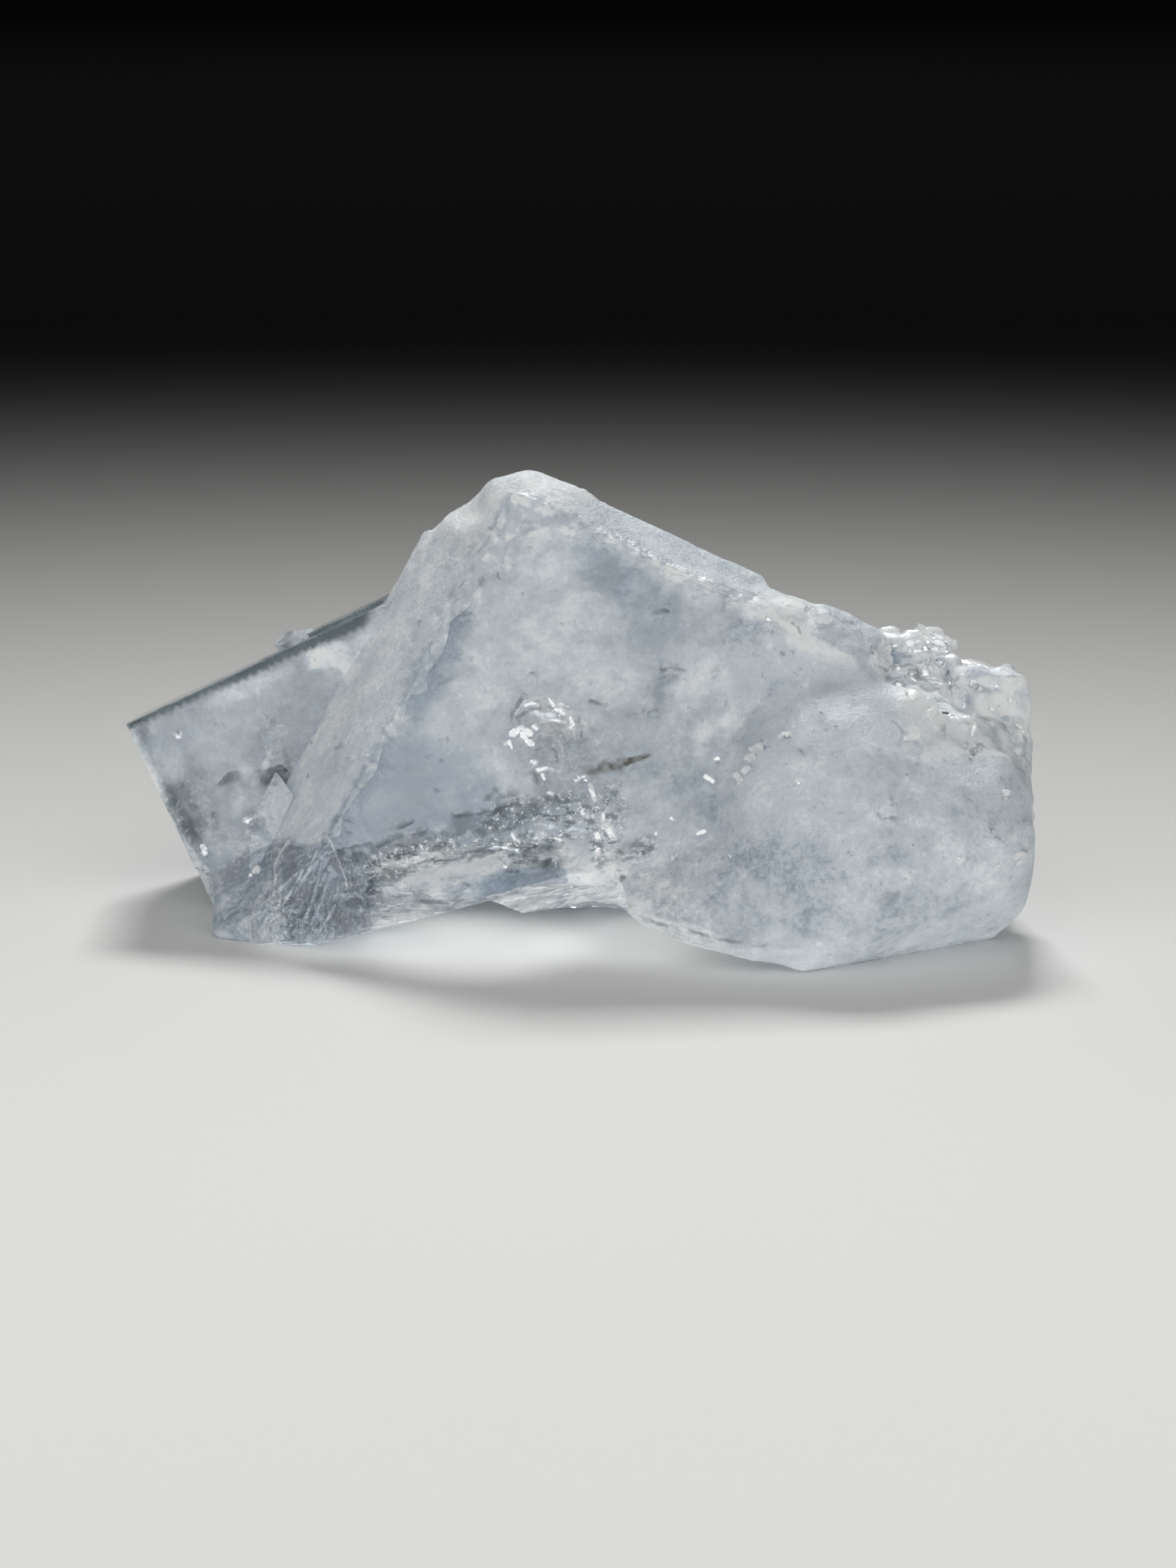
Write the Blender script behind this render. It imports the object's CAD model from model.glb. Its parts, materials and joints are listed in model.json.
"""Fluorite specimen: visual meshes, finishes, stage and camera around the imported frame.

Lengths in dataclass fields are millimetres unless a name says otherwise; meshes are in metres.
Fields that place something on a crystal use that crystal's own frame: x runs to the right along
its front face, y up the face and z out of it.
"""

import json
import logging
import math
from dataclasses import dataclass, field
from enum import Enum
from functools import cached_property, partial

import bpy
import numpy as np
from mathutils import Euler, Matrix, Vector
from mathutils.kdtree import KDTree

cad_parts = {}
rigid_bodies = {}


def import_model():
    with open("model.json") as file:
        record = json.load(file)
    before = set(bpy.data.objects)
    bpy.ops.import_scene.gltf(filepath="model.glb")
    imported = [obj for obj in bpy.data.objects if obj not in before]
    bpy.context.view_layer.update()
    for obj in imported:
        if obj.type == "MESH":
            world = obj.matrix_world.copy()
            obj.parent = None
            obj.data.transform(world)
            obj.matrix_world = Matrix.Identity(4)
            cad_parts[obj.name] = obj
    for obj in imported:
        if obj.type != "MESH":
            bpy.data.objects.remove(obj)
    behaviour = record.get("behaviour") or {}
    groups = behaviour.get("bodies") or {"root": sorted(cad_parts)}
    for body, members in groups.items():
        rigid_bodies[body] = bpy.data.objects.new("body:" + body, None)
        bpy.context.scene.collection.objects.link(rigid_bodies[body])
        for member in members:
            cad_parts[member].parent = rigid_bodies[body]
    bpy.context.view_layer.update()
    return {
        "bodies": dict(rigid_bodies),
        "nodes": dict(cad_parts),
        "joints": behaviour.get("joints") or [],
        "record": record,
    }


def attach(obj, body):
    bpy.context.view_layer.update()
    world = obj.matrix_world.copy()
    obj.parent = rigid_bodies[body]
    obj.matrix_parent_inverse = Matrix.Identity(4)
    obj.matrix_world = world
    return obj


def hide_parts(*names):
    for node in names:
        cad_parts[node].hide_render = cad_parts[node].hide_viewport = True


MM = 0.001
NODE = "fluorite_crystals"
BODY = "root"

Pair = tuple[float, float]
Triple = tuple[float, float, float]
Array = np.ndarray
Piece = bpy.types.Object
Socket = bpy.types.NodeSocket
Value = Socket | float

log = logging.getLogger("fluorite")


# ---- Frames and masks ---------------------------------------------------------------------


@dataclass(frozen=True)
class CrystalFrame:
    """A crystal's own axes, turned by roll, lean and yaw about its front top left corner.

    Attributes:
        corner: The corner in the specimen's frame.
        yaw: Turn about the upright axis, in degrees.
        lean: Turn backwards, in degrees.
        roll: Turn in the plane of the front face, in degrees.
    """

    corner: Triple
    yaw: float = 0.0
    lean: float = 0.0
    roll: float = 0.0

    def matrix(self) -> Matrix:
        """Returns the matrix from this frame to the specimen's, in millimetres."""
        yaw, lean, roll = (math.radians(v) for v in (self.yaw, self.lean, self.roll))
        turn = (
            Matrix.Rotation(yaw, 4, "Z")
            @ Matrix.Rotation(lean, 4, "X")
            @ Matrix.Rotation(roll, 4, "Y")
            @ Matrix.Rotation(math.pi / 2, 4, "X")
        )
        return Matrix.Translation(self.corner) @ turn

    def local(self, points: Array) -> Array:
        """Gives points of the specimen's frame in this frame.

        Args:
            points: Rows of x, y, z in millimetres.

        Returns:
            Rows of x, y, z in this frame.
        """
        inverse = np.array(self.matrix().inverted())
        return points @ inverse[:3, :3].T + inverse[:3, 3]


# From the growth centre to the middle of the specimen's foot.
SHIFT = Vector((0.466, -5.096, 0.0))


def placed(corner: Triple) -> Triple:
    """Moves a corner given from the growth centre to the specimen's frame."""
    return tuple(Vector(corner) + SHIFT)


MAIN = CrystalFrame(placed((-6.04, 8.64, 23.12)), yaw=-6, lean=-28, roll=24.5)
REAR = CrystalFrame(placed((-21.75, 6.8, 8.96)), yaw=3, lean=-9, roll=-24.5)
CAP = CrystalFrame(placed((13.7, 5.2, 14.15)), yaw=10, lean=-16, roll=4)
BLOCK = CrystalFrame(placed((17.6, 3.0, 12.2)), yaw=9, lean=-5, roll=2)
SHIELD = CrystalFrame(placed((10.2, -3.9, 7.0)), yaw=-15, lean=-28, roll=2)

# The way out of the main crystal's front face.
MAIN_OUT = np.array(MAIN.matrix())[:3, 2]
# The way that bright facets face, so that they mirror the glow in front.
FACET_OUT = np.array((0.0, -0.94, 0.34))
# The way towards the front, from which marks are laid, and the way up as seen from there.
LAID_FROM = np.array((0.0, -0.974, 0.225))
LAID_UP = np.array((0.0, 0.225, 0.974))
# How squarely the surface must face the front to take a mark, as a cosine.
LAID_FACING = 0.05
# How far the surface may lie before or behind a mark's line.
LAID_REACH = 1.4

# The point from which the foot's ribs spread.
FAN_POINT = (-10.4, -5.5, 5.6)
# Width, height and depth of the cap's small steps.
STEP_SIZE = (1.25, 0.62, 0.8)
# The scoop's middle in the main crystal's frame, its turn in that frame's front in degrees, and
# its half length, half breadth and half depth.
SCOOP_MIDDLE = (10.3, -19.7, 0.35)
SCOOP_TURN = 37.0
SCOOP_RADII = (5.9, 1.5, 2.1)

# Large odd numbers that scatter whole-number cells over the values from 0 to HASH_TOP.
HASH_AXES = (73856093, 19349663, 83492791)
HASH_SEED = 2654435
HASH_STIR = 1274126177
HASH_TOP = 65535
# How far apart the noise patterns of two seeds lie, in cells.
NOISE_SHIFT = 17.31


def smooth_step(low: float, high: float, value: Array) -> Array:
    """Rises smoothly from 0 at low to 1 at high.

    Args:
        low: Where the rise starts.
        high: Where the rise ends; below low for a fall.
        value: The values to map.

    Returns:
        Values from 0 to 1.
    """
    t = np.clip((value - low) / (high - low), 0.0, 1.0)
    return t * t * (3.0 - 2.0 * t)


def cell_hash(cells: Array, seed: int = 0) -> Array:
    """Gives each whole-number cell a value of its own.

    Args:
        cells: Rows of whole x, y, z.
        seed: Which set of values.

    Returns:
        Whole numbers from 0 to HASH_TOP.
    """
    first, second, third = HASH_AXES
    key = cells[:, 0] * first ^ cells[:, 1] * second ^ cells[:, 2] * third ^ seed * HASH_SEED
    key = (key ^ key >> 13) * HASH_STIR & 0xFFFFFFFF
    return (key ^ key >> 16 & 0xFFFF) % (HASH_TOP + 1)


def value_noise(points: Array, size: float, seed: int = 0) -> Array:
    """Gives smooth noise at each point.

    Args:
        points: Rows of x, y, z.
        size: Size of its features, in the points' unit.
        seed: Which pattern.

    Returns:
        Values from -1 to 1.
    """
    grid = points / size + NOISE_SHIFT * seed
    cell = np.floor(grid).astype(np.int64)
    share = grid - cell
    share = share * share * (3 - 2 * share)
    total = np.zeros(len(points))
    for corner in np.ndindex(2, 2, 2):
        value = 2 * cell_hash(cell + corner, seed) / HASH_TOP - 1
        total += value * np.prod(np.where(corner, share, 1 - share), axis=1)
    return total


@dataclass(frozen=True)
class Oval:
    """A soft-edged ellipsoid, given in a crystal's frame or in the specimen's.

    Attributes:
        centre: Its middle.
        radii: Its half widths.
        edge: How soft its edge is, as a share of its size.
        frame: The frame it is given in; the specimen's if there is none.
    """

    centre: Triple
    radii: Triple
    edge: float = 0.12
    frame: CrystalFrame | None = None

    def share(self, points: Array) -> Array:
        """Returns 1 at points inside it and 0 at points past its edge."""
        places = points if self.frame is None else self.frame.local(points)
        rim = np.linalg.norm((places - self.centre) / self.radii, axis=1)
        return smooth_step(1.0 + self.edge, 1.0 - self.edge, rim)


# The swollen lobes, and the wider places around them that are rounded.
LOBE_OVALS = (
    Oval((-0.1, 0.1, -4.7), (5.5, 7.9, 5.8), 0.04, SHIELD),
    Oval((15.97, -4.2, 4.2), (6.3, 6.1, 5.6), 0.04),
    Oval((15.97, -0.4, 6.6), (5.8, 5.1, 5.2), 0.04),
    Oval((-4.0, -4.3, -4.3), (6.1, 5.0, 5.3), 0.04, SHIELD),
)
SWELL_OVALS = (
    Oval((-0.1, 0.1, -4.7), (6.2, 8.5, 6.4), 0.06, SHIELD),
    Oval((15.97, -4.2, 4.2), (6.4, 6.4, 6.2), 0.06),
    Oval((-4.0, -4.3, -4.3), (7.0, 5.6, 6.0), 0.06, SHIELD),
)


def positions(mesh: bpy.types.Mesh) -> Array:
    """Returns a mesh's vertices as rows of x, y, z in millimetres."""
    flat = np.empty(len(mesh.vertices) * 3, np.float32)
    mesh.vertices.foreach_get("co", flat)
    return flat.reshape(-1, 3).astype(float) / MM


def deselect_all() -> None:
    """Clears the object selection."""
    bpy.ops.object.select_all(action="DESELECT")


def activate(piece: Piece) -> None:
    """Selects one object alone and makes it the active one."""
    deselect_all()
    piece.select_set(True)
    bpy.context.view_layer.objects.active = piece


# ---- Node building ------------------------------------------------------------------------


@dataclass(frozen=True)
class Pattern:
    """A noise pattern of a finish.

    Attributes:
        size: Size of its largest features.
        detail: Number of finer layers.
        roughness: How strong the finer layers are.
        distortion: How far it is warped.
        stretch: Its scale along x, y and z; even if there is none.
        turn: Its turn about y in degrees, if it is stretched.
    """

    size: float
    detail: float = 4.0
    roughness: float = 0.55
    distortion: float = 0.0
    stretch: Triple | None = None
    turn: float = 0.0


class Nodes:
    """Builds one material's node tree with short calls."""

    def __init__(self, name: str) -> None:
        """Starts an empty material.

        Args:
            name: The material's name.
        """
        self.material = bpy.data.materials.new(name)
        self.material.use_nodes = True
        self.tree = self.material.node_tree
        self.tree.nodes.clear()
        self.output = self.tree.nodes.new("ShaderNodeOutputMaterial")

    def add(self, kind: str, **settings: object) -> bpy.types.Node:
        """Adds a node and sets its properties.

        Args:
            kind: The node type without its ShaderNode prefix.
            **settings: Properties by name.

        Returns:
            The new node.
        """
        node = self.tree.nodes.new("ShaderNode" + kind)
        for name, value in settings.items():
            setattr(node, name, value)
        return node

    def link(self, source: Socket, target: Socket) -> None:
        """Joins two sockets."""
        self.tree.links.new(source, target)

    def place(self) -> Socket:
        """Returns the object coordinates, made once."""
        for node in self.tree.nodes:
            if node.type == "TEX_COORD":
                return node.outputs["Object"]
        return self.add("TexCoord").outputs["Object"]

    def attribute(self, name: str) -> Socket:
        """Returns the value of a painted attribute."""
        return self.add("Attribute", attribute_name=name).outputs["Fac"]

    def stretched(self, pattern: Pattern) -> Socket:
        """Returns the object coordinates stretched and turned for a directed pattern."""
        mapping = self.add("Mapping")
        mapping.inputs["Scale"].default_value = pattern.stretch
        mapping.inputs["Rotation"].default_value = (0.0, math.radians(pattern.turn), 0.0)
        self.link(self.place(), mapping.inputs["Vector"])
        return mapping.outputs["Vector"]

    def noise(self, pattern: Pattern) -> Socket:
        """Adds a noise texture and returns its value, which is about 0.5 in the middle."""
        where = self.stretched(pattern) if pattern.stretch else self.place()
        node = self.add("TexNoise")
        node.inputs["Scale"].default_value = 1.0 / (pattern.size * MM)
        node.inputs["Detail"].default_value = pattern.detail
        node.inputs["Roughness"].default_value = pattern.roughness
        node.inputs["Distortion"].default_value = pattern.distortion
        self.link(where, node.inputs["Vector"])
        return node.outputs["Fac"]

    def ramp(self, value: Socket, low: float, high: float,
             bottom: float = 0.0, top: float = 1.0) -> Socket:
        """Maps a value smoothly from one range to another, and clamps it.

        Args:
            value: The value to map.
            low: Where the rise starts.
            high: Where the rise ends.
            bottom: The result at low.
            top: The result at high.

        Returns:
            The mapped value.
        """
        node = self.add("MapRange", interpolation_type="SMOOTHSTEP")
        self.link(value, node.inputs["Value"])
        limits = {"From Min": low, "From Max": high, "To Min": bottom, "To Max": top}
        for name, number in limits.items():
            node.inputs[name].default_value = number
        return node.outputs["Result"]

    def maths(self, operation: str, first: Value, second: Value = 0.0) -> Socket:
        """Adds a Math node; each input is a socket or a number."""
        node = self.add("Math", operation=operation)
        for socket, value in zip(node.inputs, (first, second)):
            if isinstance(value, Socket):
                self.link(value, socket)
            else:
                socket.default_value = value
        return node.outputs["Value"]

    def plus(self, first: Value, second: Value) -> Socket:
        """Adds two values."""
        return self.maths("ADD", first, second)

    def times(self, first: Value, second: Value) -> Socket:
        """Multiplies two values."""
        return self.maths("MULTIPLY", first, second)

    def most(self, first: Value, second: Value) -> Socket:
        """Returns the larger of two values."""
        return self.maths("MAXIMUM", first, second)

    def blend(self, share: Socket, first: Socket | Triple, second: Socket | Triple) -> Socket:
        """Mixes two colours; each is a socket or a red, green, blue tuple."""
        node = self.add("Mix", data_type="RGBA")
        factor, from_colour, to_colour = (node.inputs[index] for index in (0, 6, 7))
        self.link(share, factor)
        for socket, value in ((from_colour, first), (to_colour, second)):
            if isinstance(value, Socket):
                self.link(value, socket)
            else:
                socket.default_value = (*value, 1.0)
        return node.outputs[2]

    def bump(self, height: Socket, depth: float, before: Socket | None = None) -> Socket:
        """Adds a bump of a depth in millimetres over an earlier normal."""
        node = self.add("Bump")
        node.inputs["Strength"].default_value = 1.0
        node.inputs["Distance"].default_value = depth * MM
        self.link(height, node.inputs["Height"])
        if before is not None:
            self.link(before, node.inputs["Normal"])
        return node.outputs["Normal"]


# ---- Painting by hand-placed marks --------------------------------------------------------


class Paint(Enum):
    """What a mark or a patch does to the surface."""

    GLINT = "small bright facet"
    SHADE = "dark hollow"
    SCRATCH = "raised pale line"
    RUST = "brown stain"
    CLOUD = "white cloud"
    BLUE = "clear blue depth"
    CLEAR = "clear window"
    FROST = "even frosted skin"


@dataclass(frozen=True)
class Mark:
    """A small mark that is laid on the surface from the front.

    Attributes:
        paint: What it does.
        width: Half its breadth.
        places: Where it runs, across and up as seen from the front.
    """

    paint: Paint
    width: float
    places: tuple[Pair, ...]

    def nearest(self, seen: Array) -> tuple[Array, Array]:
        """Finds the nearest place of the mark's middle line.

        Args:
            seen: Rows of across and up.

        Returns:
            How far it is from each row, and how far along the line it is, in legs.
        """
        places = np.array(self.places, float)
        least = np.linalg.norm(seen - places[0], axis=1)
        run = np.zeros(len(seen))
        for index, (start, end) in enumerate(zip(places[:-1], places[1:])):
            along = end - start
            share = np.clip((seen - start) @ along / (along @ along), 0, 1)
            gap = np.linalg.norm(seen - start - share[:, None] * along, axis=1)
            closer = gap < least
            least[closer] = gap[closer]
            run[closer] = index + share[closer]
        return least, run

    def near(self, seen: Array, margin: float) -> Array:
        """Finds the rows in the mark's box, widened on every side.

        Args:
            seen: Rows of across and up.
            margin: How much wider the box is.

        Returns:
            The rows' indices.
        """
        places = np.array(self.places, float)
        inside = (seen > places.min(0) - margin) & (seen < places.max(0) + margin)
        return np.nonzero(inside.all(1))[0]


@dataclass(frozen=True)
class LaidMark:
    """A mark that has been laid on a surface.

    Attributes:
        close: Indices of the vertices near it.
        rim: Their distances from its middle line, in widths.
        line: The places of the line nearest to them, as rows of x, y, z.
    """

    close: Array
    rim: Array
    line: Array


@dataclass(frozen=True)
class Patch:
    """A soft-edged oval zone, as deep as the crystal is thick.

    Attributes:
        paint: What it does.
        centre: Its middle, across and up.
        radii: Its half width and half height.
        turn: Its turn, anticlockwise as seen from the front, in degrees.
        value: How strong it is in the middle.
        back: The largest y that it reaches back to.
    """

    paint: Paint
    centre: Pair
    radii: Pair
    turn: float = 0.0
    value: float = 1.0
    back: float = 2.5

    def strength(self, points: Array, wander: Array) -> Array:
        """Gives how strong the patch is at each point.

        Args:
            points: Rows of x, y, z in millimetres.
            wander: Smooth noise from -1 to 1 that frays the edge.

        Returns:
            Values from 0 to the patch's value.
        """
        angle = math.radians(self.turn)
        across, up = points[:, 0] - self.centre[0], points[:, 2] - self.centre[1]
        first = (across * math.cos(angle) + up * math.sin(angle)) / self.radii[0]
        second = (up * math.cos(angle) - across * math.sin(angle)) / self.radii[1]
        rim = np.hypot(first, second) + 0.28 * wander
        return self.value * smooth_step(1.25, 0.55, rim) * (points[:, 1] < self.back)


def make_mark(paint: Paint, width: float, *places: Pair) -> Mark:
    """Gives a mark of half a breadth along its places."""
    return Mark(paint, width, places)


glint, shade, scratch = (partial(make_mark, p) for p in (Paint.GLINT, Paint.SHADE, Paint.SCRATCH))
rust, cloud = (partial(make_mark, p) for p in (Paint.RUST, Paint.CLOUD))
blue, frost = (partial(make_mark, p) for p in (Paint.BLUE, Paint.FROST))
shaded, deep = (partial(Patch, p) for p in (Paint.SHADE, Paint.BLUE))
clouded, cleared = (partial(Patch, p) for p in (Paint.CLOUD, Paint.CLEAR))


def dots(*rows: Triple) -> tuple[Mark, ...]:
    """Gives round bright facets, each of half a breadth at a place across and up."""
    return tuple(glint(width, (across, up)) for width, across, up in rows)


# What lies where on the front, in the order in which it is laid on: each mark's half breadth and
# the places that it runs through.
MARKS = (
    # The dome and what lies below it.
    scratch(0.06, (-2.9, 8.8), (-2.7, 9.5), (-2.2, 10.1), (-1.5, 10.3), (-0.8, 10.1), (-0.3, 9.6),
            (0.0, 9.0), (0.1, 8.3)),
    shade(0.09, (-2.6, 9.3), (-2.0, 9.7), (-1.3, 9.8), (-0.7, 9.5), (-0.4, 9.1)),
    shade(0.07, (-1.0, 9.0), (-0.5, 8.6), (-0.2, 8.0)),
    scratch(0.05, (-2.1, 8.2), (-1.5, 8.6), (-0.9, 8.5), (-0.5, 8.0), (-0.4, 7.5)),
    shade(0.08, (-1.7, 7.8), (-1.2, 8.1), (-0.8, 7.8), (-0.7, 7.3)),
    shade(0.06, (0.3, 9.3), (0.4, 8.7), (0.4, 8.2)),
    shade(0.1, (-2.9, 8.7), (-2.8, 9.5), (-2.5, 10.0), (-2.2, 10.4)),
    shade(0.15, (-1.4, 9.9), (-1.0, 9.7)),
    glint(0.07, (-2.2, 9.9), (-1.9, 10.0), (-1.6, 9.9)),
    glint(0.09, (-1.1, 10.2), (-0.9, 9.9)),
    glint(0.08, (-0.8, 9.7), (-0.4, 9.5)),
    glint(0.09, (-0.1, 9.3), (0.0, 9.0)),
    glint(0.16, (-2.8, 8.6), (-2.4, 8.8), (-2.0, 8.6), (-1.7, 8.9)),
    glint(0.14, (-2.3, 8.5), (-1.9, 8.1)),
    glint(0.09, (-3.1, 8.1), (-2.9, 8.2), (-2.8, 7.9)),
    glint(0.06, (-1.5, 9.1), (-1.1, 9.2), (-0.7, 9.2), (-0.4, 9.1)),
    shade(0.16, (-2.4, 9.1), (-1.9, 8.9)),
    glint(0.06, (-1.9, 7.3), (-1.8, 7.3)),
    glint(0.09, (-1.6, 6.9), (-1.2, 7.0), (-0.9, 6.9)),
    glint(0.07, (-1.4, 6.7), (-1.3, 6.5)),
    glint(0.08, (-1.2, 5.9), (-0.9, 5.8)),
    shade(0.16, (-1.9, 6.8), (-1.6, 6.4)),
    shade(0.16, (-4.0, 5.7), (-3.6, 6.0), (-3.2, 5.9)),
    shade(0.12, (-2.0, 5.4), (-1.2, 5.6), (-0.8, 5.6)),
    shade(0.3, (-3.8, 5.0), (-2.4, 5.2), (-0.9, 5.5)),
    shade(0.32, (-4.2, 3.8), (-3.5, 4.3), (-2.4, 4.9)),
    shade(0.4, (-2.7, 3.3), (-2.0, 3.0), (-1.3, 2.7)),
    shade(0.3, (-2.4, 3.7), (-1.6, 3.6), (-0.5, 3.4)),
    glint(0.11, (0.8, 6.2), (0.9, 5.9), (1.0, 5.5)),
    glint(0.08, (0.4, 5.0), (0.5, 4.9)),
    glint(0.07, (1.4, 4.9), (1.4, 4.6)),
    glint(0.1, (1.4, 4.3), (1.5, 4.2), (1.7, 3.9)),
    glint(0.12, (1.1, 4.0), (1.2, 3.7)),
    glint(0.09, (1.1, 3.4), (1.2, 3.1)),
    glint(0.1, (-0.5, 4.0), (-0.4, 3.9)),
    glint(0.06, (-1.1, 3.8), (-0.5, 3.7)),
    glint(0.07, (-2.8, 4.0), (-2.6, 3.7)),
    glint(0.06, (-0.9, 2.7), (-0.7, 2.7)),
    # The brown streak.
    rust(0.24, (0.7, 6.9), (1.1, 6.8)),
    rust(0.21, (1.3, 7.0), (1.8, 7.1), (2.4, 7.3)),
    rust(0.13, (2.4, 7.3), (3.0, 7.4), (3.5, 7.6)),
    glint(0.05, (0.1, 6.4), (0.7, 6.7)),
    # Small ticks on the front face.
    shade(0.1, (0.8, 10.1), (1.3, 9.9), (1.6, 9.9)),
    shade(0.13, (2.9, 9.6), (3.2, 9.6)),
    shade(0.08, (4.0, 6.3), (4.3, 6.2), (4.7, 6.3)),
    shade(0.16, (2.5, 3.6), (2.7, 3.7), (3.0, 3.5)),
    shade(0.07, (1.8, 3.0), (2.5, 3.2), (3.2, 3.1)),
    shade(0.06, (3.2, 3.3), (4.0, 3.7)),
    shade(0.07, (4.1, 11.5), (4.7, 11.6), (5.2, 11.5)),
    shade(0.07, (4.0, 11.1), (4.6, 11.3), (5.0, 11.1)),
    shade(0.06, (3.9, 10.8), (4.5, 11.0)),
    shade(0.05, (-3.5, 16.1), (-3.5, 15.9)),
    shade(0.05, (-2.0, 11.4), (-1.7, 11.4)),
    shade(0.04, (-3.0, 11.4), (-2.9, 11.4)),
    shade(0.04, (-4.1, 10.6), (-4.0, 10.6)),
    shade(0.06, (-7.2, 13.9), (-7.3, 13.6)),
    shade(0.05, (-5.3, 15.5), (-5.2, 15.6)),
    scratch(0.05, (-6.5, 16.6), (-6.1, 16.7), (-5.9, 17.0), (-5.4, 16.8)),
    scratch(0.04, (-6.0, 17.3), (-5.9, 16.6)),
    shade(0.05, (-12.6, 8.3), (-12.4, 8.2)),
    shade(0.05, (-12.5, 6.7), (-12.5, 6.6)),
    shade(0.05, (-10.6, 10.3), (-10.5, 10.2)),
    shade(0.04, (-1.9, 17.3), (-1.8, 17.4)),
    # The scoop.
    shade(0.09, (0.2, 2.4), (0.7, 2.5), (1.4, 2.7), (2.1, 2.8)),
    shade(0.08, (2.1, 2.8), (3.2, 3.0), (4.2, 3.0)),
    scratch(0.07, (0.0, 2.3), (0.7, 2.2), (1.5, 2.4), (2.8, 2.7), (4.2, 3.0)),
    glint(0.1, (1.1, 1.6), (1.3, 1.7)),
    glint(0.1, (2.0, 2.3), (2.1, 2.4)),
    frost(0.34, (-7.4, 1.8), (-6.3, 2.1), (-5.0, 2.4), (-4.0, 2.7)),
    scratch(0.24, (-7.8, 1.7), (-6.3, 2.1), (-5.0, 2.4), (-3.4, 2.8)),
    shade(0.2, (-6.5, 3.0), (-5.3, 3.2), (-4.2, 3.2), (-3.4, 3.2)),
    shade(0.14, (-8.9, 2.0), (-8.1, 2.3), (-7.4, 2.6)),
    blue(0.34, (-4.3, 1.3), (-3.1, 1.7), (-1.8, 2.0), (-0.6, 2.1)),
    shade(0.06, (2.5, 0.4), (3.8, 0.0), (5.2, -0.3), (6.6, -0.7), (8.6, -1.0)),
    scratch(0.05, (2.6, 0.6), (3.8, 0.2), (5.2, -0.1), (6.6, -0.5)),
    glint(0.1, (1.7, 1.9), (1.9, 1.9)),
    glint(0.08, (2.3, 2.2), (2.4, 2.1)),
    glint(0.11, (-3.2, 3.1), (-3.0, 2.7), (-3.1, 2.5)),
    shade(0.12, (-4.7, 2.8), (-3.9, 3.1), (-3.3, 3.2)),
    scratch(0.06, (-3.9, 1.1), (-3.2, 1.2), (-2.4, 1.5), (-1.6, 1.5), (-0.9, 1.5)),
    scratch(0.05, (-3.1, 0.9), (-2.0, 1.1), (-0.5, 1.2)),
    shade(0.17, (-9.1, 3.4), (-8.4, 3.8), (-7.6, 4.0), (-6.9, 4.1)),
    shade(0.13, (-8.0, 4.3), (-7.4, 4.6)),
    shade(0.16, (-5.4, 4.9), (-4.4, 4.9)),
    cloud(0.35, (3.6, 1.7), (4.6, 1.6)),
    cloud(0.26, (2.5, 2.3), (1.9, 2.5)),
    # The crystal behind.
    shade(0.5, (-18.9, 5.8), (-18.5, 5.2), (-18.1, 4.8), (-17.9, 4.1)),
    shade(0.16, (-17.2, 4.8), (-17.0, 4.0)),
    shade(0.22, (-13.9, 8.2), (-13.9, 8.0)),
    shade(0.3, (-13.8, 7.4), (-13.7, 7.0)),
    cloud(0.3, (-14.7, 7.2), (-14.5, 7.6)),
    cloud(0.8, (-11.9, 12.3), (-11.3, 12.2), (-10.9, 11.9)),
    glint(0.1, (-18.9, 8.6), (-18.8, 8.5)),
    glint(0.14, (-15.7, 4.6), (-15.6, 4.5)),
    glint(0.13, (-17.7, 3.3), (-17.6, 3.0)),
    glint(0.09, (-17.6, 2.3), (-17.5, 2.1)),
    glint(0.12, (-14.9, 2.2), (-14.8, 2.3)),
    glint(0.08, (-15.1, 2.0)),
    # The left bevel and the foot.
    blue(0.16, (-11.5, 3.5), (-11.4, 3.2)),
    blue(0.28, (-11.3, 2.8), (-11.2, 2.5)),
    blue(0.4, (-11.2, 2.2), (-10.9, 2.0)),
    frost(0.8, (-13.7, 5.7), (-14.0, 4.8)),
    frost(1.3, (-13.6, 13.1)),
    shade(0.14, (-11.2, 7.7), (-11.0, 7.9), (-10.8, 8.1)),
    scratch(0.045, (-11.9, 7.1), (-11.4, 7.6), (-10.7, 8.2), (-10.3, 8.8), (-9.9, 9.2)),
    scratch(0.05, (-10.6, 7.6), (-10.0, 7.5), (-9.4, 7.6)),
    scratch(0.05, (-10.3, 8.8), (-9.8, 8.8), (-9.3, 8.7)),
    scratch(0.055, (-13.2, 3.6), (-13.6, 3.1), (-13.8, 2.8), (-13.9, 2.3), (-13.8, 1.8),
            (-13.9, 0.8)),
    scratch(0.045, (-12.4, 2.3), (-13.0, 1.3), (-13.3, 0.8)),
    scratch(0.05, (-11.7, 3.8), (-11.6, 3.4), (-11.9, 2.9), (-12.2, 2.2), (-12.5, 1.7),
            (-12.7, 1.1)),
    scratch(0.045, (-11.4, 3.9), (-11.1, 3.6), (-10.7, 2.7), (-10.4, 1.9), (-10.3, 1.4)),
    shade(0.06, (-10.8, 3.3), (-10.2, 3.4), (-9.2, 3.6)),
    shade(0.3, (-10.7, 3.1), (-10.2, 2.8), (-9.7, 3.0)),
    shade(0.14, (-10.0, 1.0), (-9.7, 0.9)),
    # The ridge.
    cloud(0.6, (7.8, 14.7), (8.6, 14.6), (9.6, 14.1), (10.6, 13.8)),
    cloud(0.45, (9.2, 14.8), (9.8, 14.6), (10.6, 14.6), (11.2, 14.5)),
    glint(0.12, (11.1, 14.4), (11.2, 14.2)),
    cloud(0.35, (10.9, 13.4), (11.2, 13.4)),
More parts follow.
